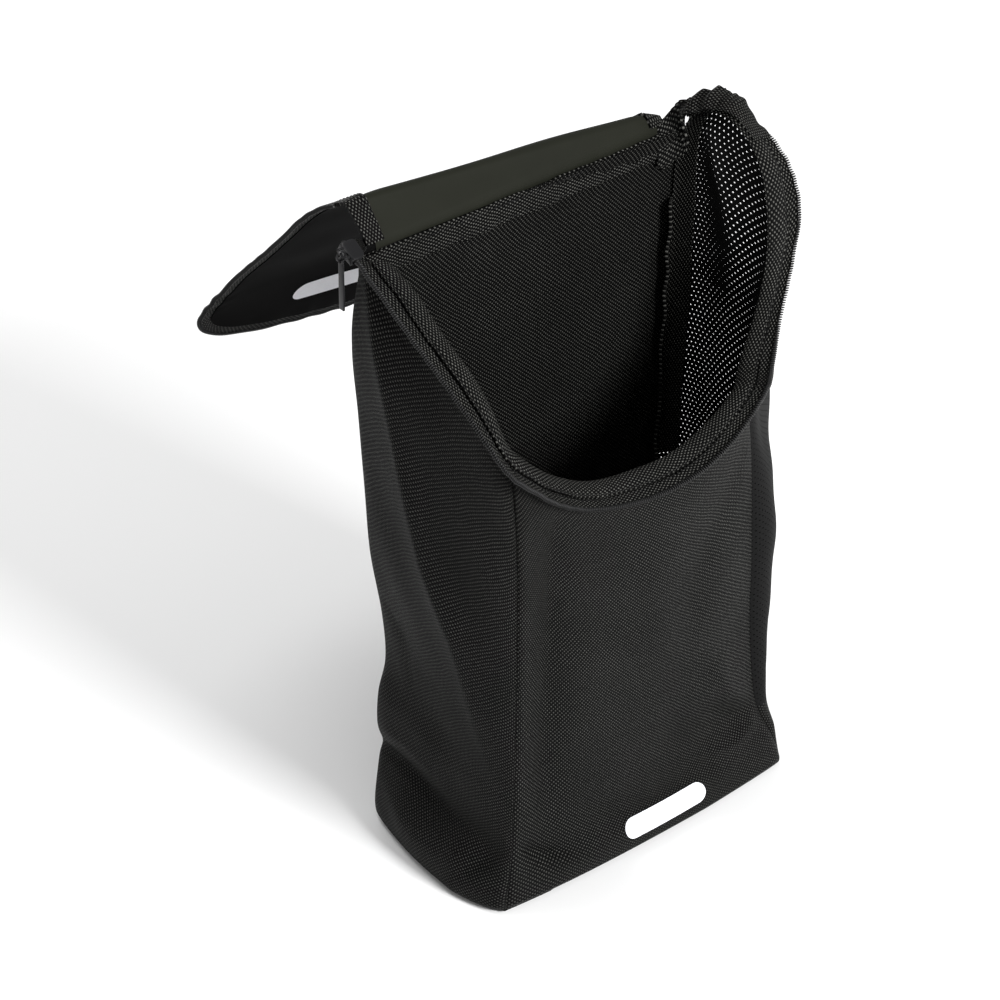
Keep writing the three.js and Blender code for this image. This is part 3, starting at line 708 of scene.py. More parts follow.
def spaced(at, start, end, pitch):
    # stations whose points are a real distance apart
    fine = np.linspace(start, end, 3000)
    run = np.concatenate([[0], np.cumsum(np.linalg.norm(np.diff(at(fine), axis=0), axis=1))])
    count = int(run[-1] / pitch)
    return np.interp((np.arange(count) + 0.5) * run[-1] / count, run, fine)


coilPitch = 1.25
toothSize = (1.5, 0.5, 1.2)
stations = spaced(rimCoil, 0.1, 19.9, coilPitch)
inner, coil, cross, width, along, normal = rimFrame(stations)
lift = normal * (pucker(stations[:, None], width, width) - 0.6)
rimTeeth = repeatAlong("rimCoilTeeth", toothUnit(toothSize), coil + lift + cross * 0.3, cross,
                       along, normal)
finishPiece(rimTeeth, coilNylon, "coil", "bag", "body_zip_coil")

# Lockstitch, 3 mm long, sunk a little into the tape on both sides of the join.
stitchSize = (0.28, 1.2, 0.22)
stitchPitch = 3.0
for name, share, height in [("facingStitches", 0.545, 0.15), ("tapeStitches", 0.66, -1.5)]:
    stations = spaced(rimCoil, 0.5, 19.9, stitchPitch)
    inner, coil, cross, width, along, normal = rimFrame(stations)
    bumps = pucker(stations[:, None], width * share, width)
    centres = inner + cross * width * share + normal * (bumps + height)
    stitches = repeatAlong(name, toothUnit(stitchSize), centres, cross, along, normal)
    finishPiece(stitches, thread, "webbing", "bag")
print("rim made")


# Back, base and the tapes inside.

backTop = 348.6
rows = closeToEnds(120, 0.4)
leftEdge, rightEdge = seamLine("backLeft")(rows), seamLine("backRight")(rows)
leftEdge[:, 2] = rightEdge[:, 2] = 0.6 + (backTop - 0.6) * rows
columns = closeToEnds(90, 0.5)[None, :, None]
backTable = rightEdge[:, None] * (1 - columns) + leftEdge[:, None] * columns
edgeGap = np.minimum(columns, 1 - columns)[..., 0] * 200
floorGap = backTable[..., 2]
held = (1 - np.exp(-(edgeGap / 9) ** 1.5)) * np.clip(floorGap / 30, 0, 1)
held = held * np.clip((backTop - floorGap) / 30, 0, 1)
backFolds = [{"line": [(-80, 60), (-40, 72), (20, 60)], "height": -1.6, "width": 9},
             {"line": [(70, 230), (40, 180), (44, 120)], "height": -1.5, "width": 12}]
backLift = foldHeights(backTable[..., 0], floorGap, backFolds)
backLift = backLift + ripples(backTable[..., 0], floorGap, 0.7, 80, 5) - 0.6
backTable[..., 1] += backLift * held + 1.7 * (1 - np.exp(-edgeGap / 2.2))
backTable[..., 1] = np.minimum(backTable[..., 1], 55.3)
backCloth = gridPiece("backPanelCloth", backTable)
thicken(backCloth, 0.6)
smoothShade(backCloth, 80)
finishPiece(backCloth, oxford, "oxford", "bag", "back_panel")

# The base fills the loop of the four panels' lowest rows.
lowest = [clothTable(panel, across, np.array([0.0, 0.001, 1.0]))[0]
          for panel in (frontPanel, rightPanel, leftPanel)]
frontRow, rightRow, leftRow = lowest[0], lowest[1], lowest[2][::-1]
backRow = backTable[0][::-1][np.rint(np.linspace(0, 90, 151)).astype(int)]
a, b = across[None, :, None], across[:, None, None]
baseTable = (frontRow[None] * (1 - b) + backRow[None] * b + leftRow[:, None] * (1 - a)
             + rightRow[:, None] * a - (1 - a) * (1 - b) * frontRow[0]
             - a * (1 - b) * frontRow[-1] - (1 - a) * b * backRow[0] - a * b * backRow[-1])
basePanel = gridPiece("basePanelCloth", baseTable[::-1])
thicken(basePanel, 1.2)
smoothShade(basePanel, 60)
finishPiece(basePanel, oxford, "oxford", "bag", "base_panel")


def seamFin(name, panel, sign, node):
    # the seam allowance, bound with tape, stands into the bag and wanders a little
    shares = np.linspace(0.05, 0.86, 150)
    points = seamLine(panel)(shares)
    inwards = np.array([*seams[panel]["inwards"], 0]) * [sign, 1, 0]
    inwards = inwards / np.linalg.norm(inwards)
    reach = np.linspace(0.6, 9.2, 6)[:, None, None]
    side = np.array([-inwards[1], inwards[0], 0])
    sway = np.sin(shares * 61 + 2 * np.sin(shares * 17))[None, :, None] * reach / 9.2 * 0.7
    band(name, points[None] + inwards * reach + side * sway, 1.6, tapeCloth, "webbing", "bag",
         node, bevel=0.25)


seamFin("seamTapeFrontLeft", "frontLeft", 1, "seam_binding_front_left")
seamFin("seamTapeFrontRight", "frontRight", 0.6, "seam_binding_front_right")
seamFin("seamTapeBackLeft", "backLeft", 1, "seam_binding_back_left")
seamFin("seamTapeBackRight", "backRight", 1, "seam_binding_back_right")


def roundedLoop(halfX, halfY, radius, count=16):
    points = []
    for k, (sx, sy) in enumerate([(1, -1), (1, 1), (-1, 1), (-1, -1)]):
        for t in np.linspace(0, 1, count):
            angle = (k - 1 + t) * math.pi / 2
            points.append((sx * (halfX - radius) + radius * math.cos(angle),
                           sy * (halfY - radius) + radius * math.sin(angle)))
    points.append(points[0])
    return np.array(points)


ringRows = []
for inset, height in [(4.2, 2.4), (5.8, 3.1), (7.6, 3.2), (9.2, 2.6)]:
    loop = roundedLoop(94.5 - inset, 52 - inset, 6)
    ringRows.append(np.column_stack([loop, np.full(len(loop), height)]))
ringTable = np.array(ringRows)
band("baseSeamTape", ringTable, 1.0, tapeCloth, "webbing", "bag", "base_seam_binding", bevel=0)

# A woven strip on the inside of the mesh, down from the mouth beside the back right seam.
stripTable = clothTable(rightPanel, np.linspace(0.0, 1, 120), np.linspace(0, 1, 160))
stripTable = stripTable - tableNormals(stripTable) * 1.9
stripTable = stripTable[66:159, 106:120].transpose(1, 0, 2)
band("meshBackStrip", stripTable, 0.8, tapeCloth, "webbing", "bag", "right_side_back_strip",
     bevel=0.2)

# The hinge tape: laid along the inside of the back's top edge, boxed off at both ends.
hinge = {"half": 93, "low": 335.6, "high": 348.8, "y": 51.9, "tab": 6, "drop": 7}


def hingeTable(x0, x1, z0, z1, columns):
    x = np.linspace(x0, x1, columns)[None, :]
    z = np.linspace(z0, z1, 9)[:, None]
    y = hinge["y"] - 0.5 * np.sin(np.pi * np.clip((z - hinge["low"]) / 12, 0, 1)) ** 0.6
    flare = np.clip((hinge["high"] - z) / 12, 0, 1)
    y = y - 0.7 * flare ** 3 + 0.35 * np.sin(x / 2.1 + 3 * np.sin(x / 19)) * flare
    z = z - 0.35 * np.sin(x / 7.3 + np.sin(x / 3.1)) + 0 * x
    return np.stack([x + 0 * z, y + 0 * z, z], -1)


band("hingeTapeBand", hingeTable(-hinge["half"], hinge["half"], hinge["low"], hinge["high"], 220),
     1.1, tapeCloth, "webbing", "bag", "hinge_tape", bevel=0.25)
for side, sign in [("left", -1), ("right", 1)]:
    near, far = sign * (hinge["half"] - 1.5), sign * (hinge["half"] + hinge["tab"] + 0.4)
    tab = hingeTable(min(near, far), max(near, far), hinge["low"] - hinge["drop"],
                     hinge["high"], 12)
    tab[..., 1] -= 0.9
    band("hingeTapeTab" + side.title(), tab, 1.0, tapeCloth, "webbing", "bag",
         "hinge_tape_end_" + side, bevel=0.25)


def straightStitches(name, starts, ends, normal):
    centres, alongs = [], []
    for start, end in zip(starts, ends):
        start, end = np.array(start, float), np.array(end, float)
        count = max(1, int(np.linalg.norm(end - start) / stitchPitch))
        shares = (np.arange(count) + 0.5)[:, None] / count
        centres.append(start + (end - start) * shares)
        alongs.append(np.repeat(unit(end - start)[None], count, 0))
    centres, alongs = np.concatenate(centres), np.concatenate(alongs)
    normals = np.repeat(np.array([normal], float), len(centres), 0)
    crosses = unit(np.cross(alongs, normals))
    stitches = repeatAlong(name, toothUnit(stitchSize), centres, crosses, alongs, normals)
    finishPiece(stitches, thread, "webbing", "bag")


straightStitches("hingeTapeStitches", [(-90, 50.4, 338), (-90, 50.7, 346.5)],
                 [(90, 50.4, 338), (90, 50.7, 346.5)], (0, -1, 0))
print("back, base and inner tapes made")


# Gathered zip ends.

def gatherPiece(name, centre, radii, folds, node):
    clearSelection()
    bpy.ops.mesh.primitive_uv_sphere_add(segments=64, ring_count=32, radius=1)
    piece = rename(bpy.context.active_object, name)
    points = readPoints(piece)
    angle = np.arctan2(points[:, 1], points[:, 0])
    wave = np.abs(np.sin(angle * folds / 2 + 1.5 * points[:, 2] + 0.4))
    points = points * (0.72 + 0.28 * wave[:, None] ** 0.7)
    points = points * (1 + 0.06 * np.sin(5 * points[:, 2:] + 3 * points[:, :1]))
    writePoints(piece, (points * np.array(radii) + np.array(centre)) * mm)
    smoothShade(piece, 80)
    finishPiece(piece, tapeCloth, "webbing", "bag", node)


gatherPiece("zipEndGatherLeft", (-102.2, 56.6, 351.6), (6.4, 3.6, 5.4), 7,
            "zip_end_gather_left")


# On the right the facing is drawn up into a ruffle that runs on past the zip's end to the hinge.
ruffle = {"stations": [17.5, 18.1, 18.7, 19.3, 19.8, 20.0],
          "outerEnd": [(108.5, 56, 361), (102, 57.5, 355.5), (92, 56.4, 351.5)],
          "innerEnd": [(103, 43.5, 340), (98, 48, 333.5), (88, 50.3, 331)]}


def ruffleTable():
    inner, coil, cross, width, along, normal = rimFrame(np.array(ruffle["stations"]))
    rise = np.array([0.0, 0.8, 2.0, 2.6, 2.6, 2.2])[:, None]
    outerEdge = coil + cross * 0.5 + normal * rise
    reach = np.array([0.06, 0.06, 0.03, -0.08, -0.28, -0.34])[:, None]
    innerEdge = inner + cross * width * reach + normal * 0.8
    outerLine = smoothLine(np.vstack([outerEdge, ruffle["outerEnd"]]))
    innerLine = smoothLine(np.vstack([innerEdge, ruffle["innerEnd"]]))
    t = np.linspace(0, 8, 260)[None, :, None]
    share = np.linspace(0, 1, 22)[:, None, None]
    table = innerLine(t[..., 0]) * (1 - share) + outerLine(t[..., 0]) * share
    off = tableNormals(table)
    off = off * np.sign(off[..., 2].sum())
    grow = np.clip(t / 1.5, 0, 1) * (0.25 + 0.75 * share ** 0.8)
    grow = grow * (0.15 + 0.85 * np.clip((7.4 - t) / 2.2, 0, 1))
    waves = np.sin(t * 5.2 + 1.1 * np.sin(t * 2.3) + 0.5 * share)
    fine = 0.35 * np.sin(t * 13 + 2 * np.sin(t * 3) + 2 * share)
    crown = 2.2 * np.sin(np.pi * share) * np.clip(t / 2, 0, 1)
    return table + off * (crown + 1.9 * grow * (waves + fine))


band("zipEndGatherRight", ruffleTable(), 1.1, tapeCloth, "webbing", "bag",
     "zip_end_gather_right", bevel=0.25, even=False)
for name, station, away in [("start", 0.0, -1), ("end", 20.0, 1)]:
    inner, coil, cross, width, along, normal = rimFrame(np.array([station]))
    clearSelection()
    bpy.ops.mesh.primitive_cube_add(size=2.2 * mm)
    stop = rename(bpy.context.active_object, "zipStop" + name.title())
    useModifier(stop, "BEVEL", width=0.6 * mm, segments=3)
    local = readPoints(stop)
    middle = coil[0] + along[0] * away * 1.7
    writePoints(stop, middle * mm + local[:, :1] * cross + local[:, 1:2] * along
                + local[:, 2:] * normal)
    smoothShade(stop, 60)
    finishPiece(stop, coilNylon, "coil", "bag", "zip_stop_" + name)


# The carry handle on the back.

handle = {"z": 296, "half": 66, "width": 25, "rise": 15, "anchor": 24, "face": 56.9,
          "patch": 56.0, "seam": 9, "thread": 58.5}
x = np.linspace(-handle["half"], handle["half"], 180)
free = handle["half"] - handle["anchor"]
rise = np.where(np.abs(x) < free, handle["rise"] * np.cos(x / free * math.pi / 2) ** 2, 0)
handleRows = []
for share in np.linspace(-0.5, 0.5, 9):
    crown = 0.5 * (1 - (2 * share) ** 2)
    handleRows.append(np.column_stack([x[::-1], (handle["face"] + 0.8 + rise + crown)[::-1],
                                       np.full(len(x), handle["z"] + share * handle["width"])]))
band("handleWebbing", np.array(handleRows), 1.6, webbing, "webbing", "bag", "carry_handle",
     bevel=0.4)
for side, sign in [("left", -1), ("right", 1)]:
    middle = sign * (handle["half"] - handle["anchor"] / 2)
    half, tall = handle["anchor"] / 2 + 2, handle["width"] / 2 + 2
    x = np.linspace(middle + half, middle - half, 24)
    rows = [np.column_stack([x, np.full(24, handle["patch"]), np.full(24, handle["z"] + s * tall)])
            for s in np.linspace(-1, 1, 20)]
    band("handlePatch" + side.title(), np.array(rows), 1.0, oxford, "webbing", "bag",
         "handle_patch_" + side, bevel=0.2)
    low, high = handle["z"] - handle["seam"], handle["z"] + handle["seam"]
    a, b = middle - handle["seam"], middle + handle["seam"]
    y = handle["thread"]
    corners = [(a, y, low), (b, y, low), (b, y, high), (a, y, high)]
    starts = corners + [corners[0], corners[3]]  # four sides, then the cross
    ends = corners[1:] + [corners[0], corners[2], corners[1]]
    straightStitches("handleStitches" + side.title(), starts, ends, (0, 1, 0))
print("handle made")


# The lid.

# The lid is drawn flat, x along the hinge and y from the hinge outwards, and then folded.
lid = {
    "half": 99, "tape": 9, "creaseMiddle": 17.5, "creaseSlope": -17 / 200, "flap": 124,
    "tongueSide": 33, "tongueBow": 38, "bowPower": 0.8, "zoneEdge": 80,
    "hingeTurn": 3.0, "creaseTurn": 4.0, "foldTurn": 16.0,
}


def jointPoint(name):
    return np.array(joints[name]["pos_m"], float) / mm


def jointAxis(name):
    axis = np.array(joints[name]["axis"], float)
    return axis / np.linalg.norm(axis)


def turned(vector, axis, angle):
    return (vector * math.cos(angle) + np.cross(axis, vector) * math.sin(angle)
            + axis * (axis @ vector) * (1 - math.cos(angle)))


# Each stretch's own axes, in the bag's frame: along the hinge, outwards and off the inner face.
stripAngle, creaseAngle, foldAngle = math.radians(53), math.radians(-96), math.radians(-18)
rootTurn = -math.radians(-37)
hingeAxis, creaseAxis, foldAxis = (jointAxis(n) for n in ("lid_hinge", "lid_crease", "lid_fold"))
stripY = np.array([0, math.cos(stripAngle), math.sin(stripAngle)])
stripZ = np.array([0, -math.sin(stripAngle), math.cos(stripAngle)])
bagY, bagZ = np.array([0, 0, 1.0]), np.array([0, -1.0, 0])
flapX = turned(hingeAxis, creaseAxis, creaseAngle)
flapY = turned(stripY, creaseAxis, creaseAngle)
flapZ = turned(stripZ, creaseAxis, creaseAngle)
tongueY = turned(flapY, foldAxis, foldAngle)
skew = math.atan(lid["creaseSlope"])


def creaseY(x):
    return lid["creaseMiddle"] + lid["creaseSlope"] * x


def foldedSheet(d, foot, before, beforeOff, turn, reach):
    # d is the distance past the fold; the sheet turns by `turn` over `reach` on each side
    radius = reach / math.tan(turn / 2)
    bend = np.clip((d + reach) / (2 * reach), 0, 1)[..., None] * turn
    start = foot - before * reach
    point = start + radius * (np.sin(bend) * before - (1 - np.cos(bend)) * beforeOff)
    forward = np.cos(bend) * before - np.sin(bend) * beforeOff
    off = np.cos(bend) * beforeOff + np.sin(bend) * before
    past = np.where(d > reach, d - reach, np.where(d < -reach, d + reach, 0))[..., None]
    return point + forward * past, off


def lidWave(x, y):
    # the soft cloth never lies quite flat, and its bound edge is drawn up near the tongue's ends
    slow = 0.8 * ripples(x, y, 1.0, 75, 4)
    edge = np.clip((np.abs(x) - 84) / 14, 0, 1)
    drawn = 0.45 * np.sin(y / 2.6 + 1.9 * np.sin(y / 9) + x * 0.02) * edge
    drawn = drawn * (0.25 + 0.75 * np.exp(-((y - 160) / 16) ** 2))
    low = np.clip((y - lid["creaseMiddle"] - lid["flap"] - 50) / 20, 0, 1)
    hem = 0.25 * np.sin(x / 3.4 + 2 * np.sin(x / 17)) * low
    near = np.clip((y - 26) / 30, 0, 1)
    sag = -0.9 * np.exp(-((y - 14) / 9) ** 2) * (1 - (x / 100) ** 2)
    leftSide = np.clip(-(x + 15) / 75, 0, 1)
    curl = -4.6 * np.exp(-((y - 132) / 34) ** 2) + 2.4 * np.exp(-((y - 58) / 20) ** 2)
    atCrest = np.exp(-((y - creaseY(x)) / 12) ** 2)
    drop = -(0.012 * np.maximum(x - 78, 0) ** 2 + 0.006 * np.maximum(-x - 74, 0) ** 2) * atCrest
    arch = 1.8 * np.exp(-((x - 30) / 42) ** 2) * atCrest
    return (slow + drawn + hem) * near + sag + curl * leftSide + drop + arch


def lidPoint(x, y, lift=0.0):
    x, y, lift = np.broadcast_arrays(np.asarray(x, float), np.asarray(y, float),
                                     np.asarray(lift, float))
    up = y - creaseY(x)
    d = up * math.cos(skew)
    c = x * math.cos(skew) + (y - lid["creaseMiddle"]) * math.sin(skew)
    foot = jointPoint("lid_crease") + c[..., None] * creaseAxis
    stripOut = stripY * math.cos(skew) - hingeAxis * math.sin(skew)
    bent, off = foldedSheet(d, foot, stripOut, stripZ, -creaseAngle, lid["creaseTurn"])
    # before the strip: the same sheet turned up from the bag's own back
    h = np.minimum(y, 0.5 * creaseY(x))
    root = jointPoint("lid_hinge") + x[..., None] * hingeAxis
    rooted, rootOff = foldedSheet(h, root, bagY, bagZ, rootTurn, lid["hingeTurn"])
    isRoot = (y < 0.5 * creaseY(x))[..., None]
    point, normal = np.where(isRoot, rooted, bent), np.where(isRoot, rootOff, off)
    # past the flap: the tongue
    t = y - lid["creaseMiddle"] - lid["flap"]
    foldFoot = jointPoint("lid_crease") + flapY * lid["flap"] + x[..., None] * flapX
    tongue, tongueOff = foldedSheet(t, foldFoot, flapY, flapZ, -foldAngle,
                                    lid["foldTurn"])
    isTongue = (t > -lid["foldTurn"] - 4)[..., None]
    point, normal = np.where(isTongue, tongue, point), np.where(isTongue, tongueOff, normal)
    return point + normal * (lift + lidWave(x, y))[..., None], normal


def zoneOf(name):
    bodies, axisJoint, before, after, reach = {
        "root": (("bag", "lid_strip"), "lid_hinge", bagY, stripY, lid["hingeTurn"]),
        "crest": (("lid_strip", "lid_flap"), "lid_crease", stripY, flapY, lid["creaseTurn"]),
        "end": (("lid_flap", "lid_tongue"), "lid_fold", flapY, tongueY, lid["foldTurn"]),
    }[name]
    middle = before + after
    axis = jointAxis(axisJoint)
    middle = unit(middle - axis * (middle @ axis))
    reach = reach * abs(middle @ unit(before))
    centre = jointPoint(axisJoint)
    return (*bodies, tuple((centre - middle * reach) * mm), tuple((centre + middle * reach) * mm))


def lidBand(name, xTable, yTable, lift, thickness, material, slot, zone, *nodes, bevel=0.0):
    table = lidPoint(xTable, yTable, lift)[0]
    return band(name, table, thickness, material, slot, zoneOf(zone), *nodes, bevel=bevel)


def lidCloth(name, xTable, yTable, zone, node):
    # one sheet, its inner face first and its outer face, with the cut edges, after it
    piece = lidBand(name, xTable, yTable, 0, 0.9, coated, "coated", zone, node)
    piece.data.materials.append(coatedOuter)
    inner = (xTable.shape[0] - 1) * (xTable.shape[1] - 1)
    faces = (np.arange(len(piece.data.polygons)) >= inner).astype(np.int32)
    piece.data.polygons.foreach_set("material_index", faces)
    return piece


def lidEdge(off, count=90):
    # the tongue's outline, from the flap's left edge round the bow and back up, moved in by off
    half, bow = lid["half"] - off, lid["tongueBow"] - off
    corner = lid["creaseMiddle"] + lid["flap"] + lid["tongueSide"]
    down = np.linspace(lid["zoneEdge"], corner, count // 2)[:-1]
    angle = np.pi * (1 - np.linspace(0, 1, 2 * count))
    bowX = np.sign(np.cos(angle)) * np.abs(np.cos(angle)) ** lid["bowPower"]
    x = np.concatenate([np.full(len(down), -half), half * bowX, np.full(len(down), half)])
    y = np.concatenate([down, corner + bow * np.sin(angle) ** lid["bowPower"], down[::-1]])
    return x, y


sheetHalf = 91.5
x = np.sin(np.linspace(-1, 1, 121) * math.pi / 2)[None, :] * sheetHalf
v = np.linspace(0, 1, 25)[:, None]
rootFlat = (x + 0 * v, -6 + (0.5 * creaseY(x) + 6) * v)
rootCloth = lidCloth("lidRootCloth", *rootFlat, "root", "lid_strip_panel")
v = closeToEnds(130, 0.0)[:, None]
crestStart = 0.5 * creaseY(x)
crestFlat = (x + 0 * v, crestStart + (lid["zoneEdge"] - crestStart) * v ** 1.5)
crestCloth = lidCloth("lidCrestCloth", *crestFlat, "crest", "lid_flap_panel")
corner = lid["creaseMiddle"] + lid["flap"] + lid["tongueSide"]
v = np.linspace(0, 1, 111)[:, None]
bowRest = np.maximum(1 - np.abs(x / sheetHalf) ** (2 / lid["bowPower"]), 0)
bowEnd = corner + (lid["tongueBow"] - 7.5) * bowRest ** (lid["bowPower"] / 2)
endFlat = (x + 0 * v, lid["zoneEdge"] + (bowEnd - lid["zoneEdge"]) * v)
endCloth = lidCloth("lidTongueCloth", *endFlat, "end", "lid_tongue_panel")

for side, sign in [("left", -1), ("right", 1)]:
    wide = np.linspace(86.6, 97.4, 7)[:, None] * sign
    v = np.linspace(0, 1, 20)[None, :]
    rise = 0.9
    lidBand("lidStripTapeRoot" + side.title(), wide + 0 * v,
            1.0 + (0.5 * creaseY(wide) - 1.0) * v, rise, 1.7, tapeCloth, "webbing", "root",
            "lid_strip_binding_" + side)
    v = np.linspace(0, 1, 90)[None, :] ** 1.5
    start = 0.5 * creaseY(wide)
    lidBand("lidFlapTape" + side.title(), wide + 0 * v, start + (lid["zoneEdge"] - start) * v,
            rise, 1.7, tapeCloth, "webbing", "crest", "lid_flap_zip_tape_" + side)

rowsX, rowsY = zip(*[lidEdge(off) for off in np.linspace(12.4, 1.6, 8)])
lidBand("lidTongueTape", np.array(rowsX), np.array(rowsY), 0.9, 1.7, tapeCloth, "webbing", "end",
        "lid_tongue_zip_tape")


def lidTeeth(name, x, y, unitSize, pitch, lift, zone, material, slot, *nodes):
    run = np.concatenate([[0], np.cumsum(np.hypot(np.diff(x), np.diff(y)))])
    count = int(run[-1] / pitch)
    at = (np.arange(count) + 0.5) * run[-1] / count
    px, py = np.interp(at, run, x), np.interp(at, run, y)
    centres, normal = lidPoint(px, py, lift)
    ahead = lidPoint(np.interp(at + 0.4, run, x), np.interp(at + 0.4, run, y), lift)[0]
    behind = lidPoint(np.interp(at - 0.4, run, x), np.interp(at - 0.4, run, y), lift)[0]
    along = unit(ahead - behind)
    cross = unit(np.cross(along, normal))
    piece = repeatAlong(name, toothUnit(unitSize), centres, cross, along, normal)
    finishPiece(piece, material, slot, zoneOf(zone), *nodes)


for side, sign in [("left", -1), ("right", 1)]:
    y = np.linspace(creaseY(sign * 98) + 9, lid["zoneEdge"], 60)
    lidTeeth("lidCoil" + side.title(), np.full(60, 97.9 * sign), y, toothSize, coilPitch, 0.6,
             "crest", coilNylon, "coil", "lid_flap_zip_coil_" + side)
    y = np.linspace(creaseY(sign * 98) * 0.5 + 1, lid["zoneEdge"], 60)
    lidTeeth("lidSideStitches" + side.title(), np.full(60, 88.0 * sign), y, stitchSize,
             stitchPitch, 1.9, "crest", thread, "webbing")
edgeX, edgeY = lidEdge(1.1)
lidTeeth("lidTongueCoil", edgeX, edgeY, toothSize, coilPitch, 0.6, "end", coilNylon, "coil",
         "lid_tongue_zip_coil")
edgeX, edgeY = lidEdge(11.2)
lidTeeth("lidTongueStitches", edgeX, edgeY, stitchSize, stitchPitch, 1.9, "end", thread,
         "webbing")
print("lid made")


# Plain prints.

def pillTable(halfX, halfY, columns=60, rows=16):
    # a bar with fully rounded ends
    t = np.linspace(-1, 1, columns + 1)[None, :]
    x = halfX * np.sin(t * math.pi / 2)
    past = np.maximum(np.abs(x) - (halfX - halfY), 0)
    tall = np.sqrt(np.maximum(halfY ** 2 - past ** 2, 0.02))
    return x, np.linspace(-1, 1, rows + 1)[:, None] * tall


px, py = pillTable(30, 7)
lidPrint = lidPoint(px - 8, lid["creaseMiddle"] + lid["flap"] + 38 + py, -0.62)[0]
printPiece = gridPiece("lidPrintInk", lidPrint)
finishPiece(printPiece, ink, "print", zoneOf("end"), "lid_print")

printTable = clothTable(frontPanel, np.linspace(0, 1, 241), np.linspace(0, 1, 481))[:121]
px, py = pillTable(29, 6.5)
inkAcross, inkUp = 0.55 + px / 195, 0.07 + py / 240  # shares of the front panel
place = np.stack(np.broadcast_arrays(inkAcross * 240, inkUp * 480), -1)
onFront = tableAt(printTable, place)
onFront = onFront + tableNormals(onFront) * 0.25
frontInk = gridPiece("frontPrintInk", onFront)
smoothShade(frontInk, 80)
finishPiece(frontInk, ink, "print", "bag", "front_print")


# Zip slider and pull.

def axesOf(origin, x, y, z):
    return np.array(origin, float), np.array([x, y, z], float)


slideAxis = jointAxis("zip_slide")
sliderAxes = axesOf(rimCoil(np.array(0.0)) + slideAxis * 4, (1, 0, 0), -slideAxis,
                    np.cross((1, 0, 0), -slideAxis))


def placeLocal(piece, axes, offset=(0, 0, 0)):
    origin, basis = axes
    writePoints(piece, ((readPoints(piece) / mm + offset) @ basis + origin) * mm)


def metalBox(name, size, centre, bevel, axes, body, *nodes):
    clearSelection()
    bpy.ops.mesh.primitive_cube_add(size=1 * mm)
    piece = rename(bpy.context.active_object, name)
    writePoints(piece, readPoints(piece) * np.array(size))
    useModifier(piece, "BEVEL", width=bevel * mm, segments=3)
    placeLocal(piece, axes, centre)
    smoothShade(piece, 50)
    return finishPiece(piece, enamel, "slider", body, *nodes)


# Two plates over and under the coil, narrowed towards the closing end, and the wall between.
slider = {"plate": (8.1, 11, 1.1), "apart": 2.15, "narrow": 0.14, "off": 0.35, "bevel": 0.22}
for name, z in [("sliderPlateTop", slider["apart"]), ("sliderPlateUnder", -slider["apart"])]:
    clearSelection()
    bpy.ops.mesh.primitive_cube_add(size=1 * mm)
    plate = rename(bpy.context.active_object, name)
    useModifier(plate, "BEVEL", width=slider["bevel"] * mm, segments=3, affect="EDGES")
    points = readPoints(plate) / mm
    points = points * slider["plate"]
    toEnd = np.clip(points[:, 1:2] / (slider["plate"][1] / 2), -1, 1)
    narrow = 1 - slider["narrow"] * toEnd ** 2 * (points[:, 1:2] < 0)
    points[:, :1] = points[:, :1] * narrow
    writePoints(plate, points * mm)
    placeLocal(plate, sliderAxes, (slider["off"], 0, z))
    smoothShade(plate, 50)
    finishPiece(plate, enamel, "slider", "zip_slider", "zip_slider_body")
metalBox("sliderWall", (1.2, 11, 4.2), (-3.1, 0, 0), 0.3, sliderAxes, "zip_slider")
metalBox("sliderBridgeFront", (3.8, 1.2, 1.2), (-5.6, 2.8, 2.1), 0.35, sliderAxes, "zip_slider",
         "zip_slider_bridge")
metalBox("sliderBridgeBack", (3.8, 1.2, 1.2), (-5.6, -2.8, 2.1), 0.35, sliderAxes, "zip_slider")
metalBox("sliderBridgeBar", (1.2, 6.8, 1.2), (-6.9, 0, 2.1), 0.35, sliderAxes, "zip_slider")

pullAxes = axesOf(jointPoint("zip_pull_swing"), (1, 0, 0), (0, 1, 0), (0, 0, 1))
clearSelection()
bpy.ops.mesh.primitive_torus_add(major_segments=40, minor_segments=12, major_radius=2.4 * mm,
                                 minor_radius=0.55 * mm)
ring = rename(bpy.context.active_object, "pullRing")
points = readPoints(ring)
writePoints(ring, np.column_stack([points[:, 0], -points[:, 2], points[:, 1]]))
placeLocal(ring, pullAxes, (0, 0, -0.9))
smoothShade(ring, 80)
finishPiece(ring, enamel, "slider", "zip_pull", "zip_pull_ring")

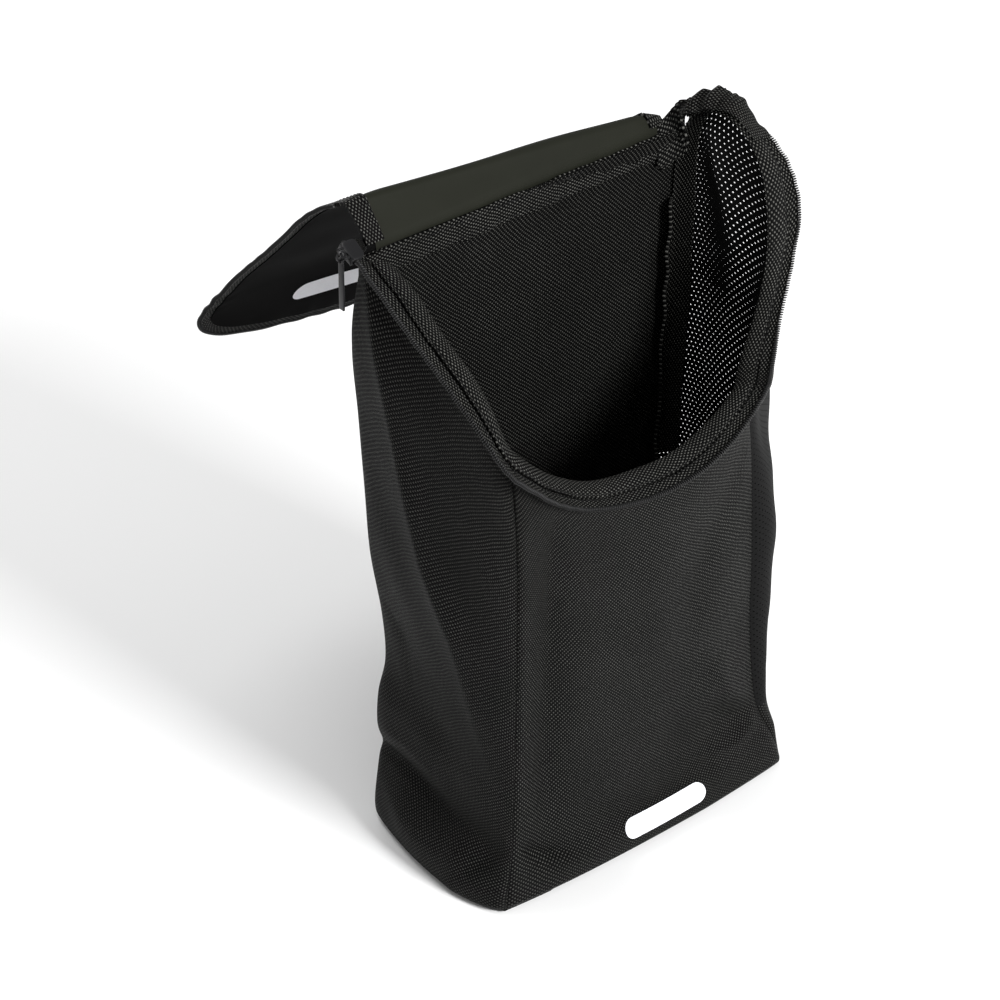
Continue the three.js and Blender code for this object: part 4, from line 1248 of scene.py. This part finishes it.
# The tab is a flat bar with a round eye: a ring at its head, and the bar below it.
pull = {"half": 1.9, "eye": 1.05, "bar": 26.0, "thick": 1.1, "hang": -3.3}
clearSelection()
bpy.ops.mesh.primitive_torus_add(major_segments=32, minor_segments=12,
                                 major_radius=(pull["half"] + pull["eye"]) / 2 * mm,
                                 minor_radius=(pull["half"] - pull["eye"]) / 2 * mm)
head = rename(bpy.context.active_object, "pullTabEye")
points = readPoints(head) / mm
points = np.column_stack([points[:, 2] * 1.25, points[:, 0], points[:, 1]])
writePoints(head, points * mm)
placeLocal(head, pullAxes, (0, 0, pull["hang"]))
smoothShade(head, 80)
finishPiece(head, enamel, "slider", "zip_pull", "zip_pull_tab")
metalBox("pullTabBar", (pull["thick"], pull["half"] * 2, pull["bar"]),
         (0, 0, pull["hang"] - 1.3 - pull["bar"] / 2), 0.45, pullAxes, "zip_pull")
print("slider and pull made")


# Floor and light.

clearSelection()
bpy.ops.mesh.primitive_plane_add(size=6)
floor = rename(bpy.context.active_object, "studioFloor")
floorPaint, tree, shader = newMaterial("mattWhitePaper", Roughness=0.9)
shader.inputs["Base Color"].default_value = hexColour("#f4f4f4")
floor.data.materials.append(floorPaint)
floor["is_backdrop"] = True

world = bpy.data.worlds.new("studioLight")
scene.world = world
world.use_nodes = True
world.node_tree.nodes["Background"].inputs["Color"].default_value = (1, 1, 1, 1)
world.node_tree.nodes["Background"].inputs["Strength"].default_value = 0.45


def softLight(name, place, aim, size, power):
    clearSelection()
    bpy.ops.object.light_add(type="AREA", location=[p * mm for p in place])
    light = rename(bpy.context.active_object, name)
    light.data.size = size * mm
    light.data.energy = power
    direction = Vector(place) - Vector(aim)
    light.rotation_euler = direction.to_track_quat("Z", "Y").to_euler()


softLight("keyLight", (250, -1750, 1250), (0, 0, 180), 650, 60)
softLight("topLight", (-200, 500, 1900), (0, 0, 250), 1100, 14)
softLight("backLight", (700, 1900, 900), (0, 0, 180), 1000, 12)

low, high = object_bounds()
print("visual box", [round(c * 1000) for c in low], [round(c * 1000) for c in high])
print("scene finished")
